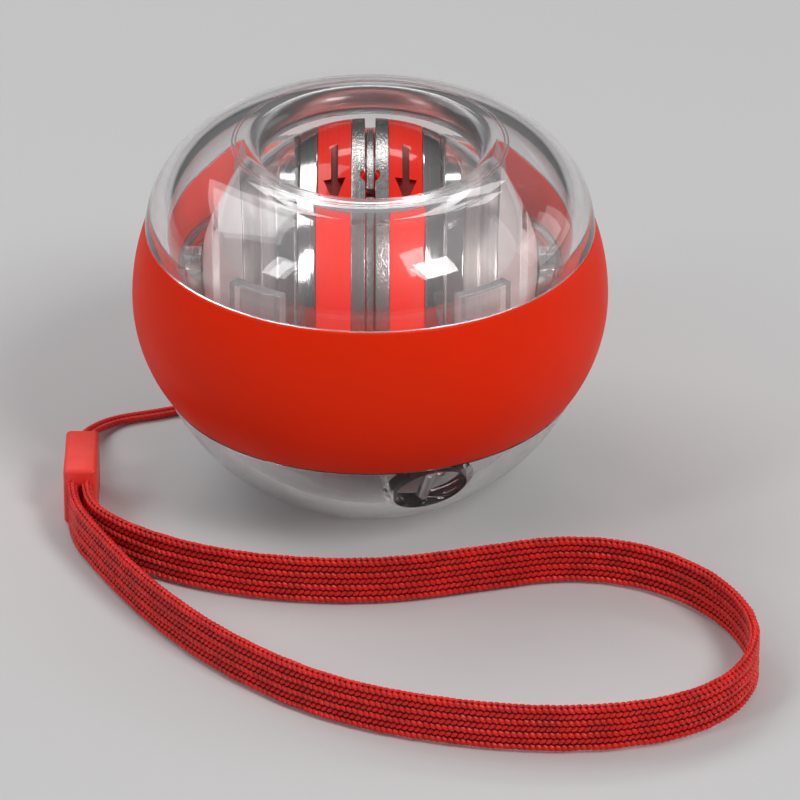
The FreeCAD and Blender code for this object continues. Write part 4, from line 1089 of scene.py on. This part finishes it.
slotOfNode = {part["node"]: part["material_slot"] for part in frame["record"]["subparts"]}
for name, piece in frame["nodes"].items():
    piece.data.materials.clear()
    piece.data.materials.append(finishes[slotOfNode[name]])
print("stage: inner pieces dressed")


# Floor, light and camera

stage = dict(floorHalf=3.0, floorDrop=0.00005, floorColour=(0.62, 0.62, 0.62), floorWorn=0.985,
             floorGrain=dict(grain=0.002, cloud=0.3), floorRough=0.7, floorShine=0.2,
             worldColour=(0.62, 0.63, 0.65), worldLow=0.07, worldHigh=0.50)
lamps = (   # name, place from the ball's centre in metres, size, power, colour
    ("keyLamp", (0.52, -0.59, 0.76), (0.30, 0.34), 5.4, (1.0, 0.99, 0.97)),
    ("fillLamp", (-0.72, -0.52, 0.66), (0.18, 0.40), 1.8, (0.98, 0.985, 1.0)),
    ("backLamp", (0.05, 0.80, 0.78), (0.6, 0.14), 1.3, (1.0, 1.0, 1.0)),
    ("sideLamp", (0.98, 0.30, 0.24), (0.6, 0.45), 1.3, (1.0, 1.0, 1.0)),
    ("highLamp", (-0.62, 0.40, 0.85), (0.8, 0.6), 4.0, (1.0, 1.0, 1.0)),
)
camera = dict(distance=1.0, elevation=28.45, focal=6795.0, sensor=36.0, ballAcross=370.2, ballDown=292.0,
              frame=800.0, clipEnd=20)


def makeFloor():
    bm = bmesh.new()
    bmesh.ops.create_grid(bm, x_segments=1, y_segments=1, size=stage["floorHalf"],
                          matrix=Matrix.Translation((0, 0, -stage["floorDrop"])))
    material, nodes, shader = newMaterial("floorPale", {
        "Roughness": stage["floorRough"], "Specular IOR Level": stage["floorShine"]})
    pale = Vector(stage["floorColour"])
    grain = grainOf(nodes, stage["floorGrain"])
    nodes.fill(shader.inputs, {"Base Color": nodes.mixed(grain["Cloud"], pale, pale * stage["floorWorn"])})
    meshPiece("floor", bm, material)


def makeLamps():
    for name, place, size, power, colour in lamps:
        data = bpy.data.lights.new(name, "AREA")
        data.shape = "RECTANGLE"
        data.size, data.size_y = size
        data.energy = power
        data.color = colour
        lamp = addObject(name, data)
        lamp.location = ballCentre + Vector(place)
        lamp.rotation_euler = (-Vector(place)).to_track_quat("-Z", "Y").to_euler()
    world = bpy.data.worlds.new("studio")
    bpy.context.scene.world = world
    world.use_nodes = True
    nodes = Nodes(world.node_tree)
    direction = nodes.add("ShaderNodeTexCoord")["Generated"]
    height = nodes.add("ShaderNodeSeparateXYZ", {0: direction})["Z"]
    nodes.fill(world.node_tree.nodes["Background"].inputs, {
        "Color": (*stage["worldColour"], 1),
        "Strength": nodes.mapped(height, stage["worldLow"], stage["worldHigh"])})


def makeCamera():
    data = bpy.data.cameras.new("camera")
    data.sensor_width = camera["sensor"]
    data.lens = camera["focal"] * camera["sensor"] / camera["frame"]
    data.clip_end = camera["clipEnd"]
    eye = addObject("camera", data)
    elevation = math.radians(camera["elevation"])
    toBall = Vector((0, math.cos(elevation), -math.sin(elevation)))
    eye.location = ballCentre - toBall * camera["distance"]
    half = camera["frame"] / 2
    seen = Vector((camera["ballAcross"] - half, half - camera["ballDown"], -camera["focal"]))
    aim = seen.rotation_difference(Vector((0, 0, -1)))
    eye.rotation_euler = (toBall.to_track_quat("-Z", "Y") @ aim).to_euler()
    bpy.context.scene.camera = eye


makeFloor()
makeLamps()
makeCamera()
bpy.context.scene.view_settings.view_transform = "Standard"
print("stage: floor, light and camera set")

bpy.context.view_layer.update()
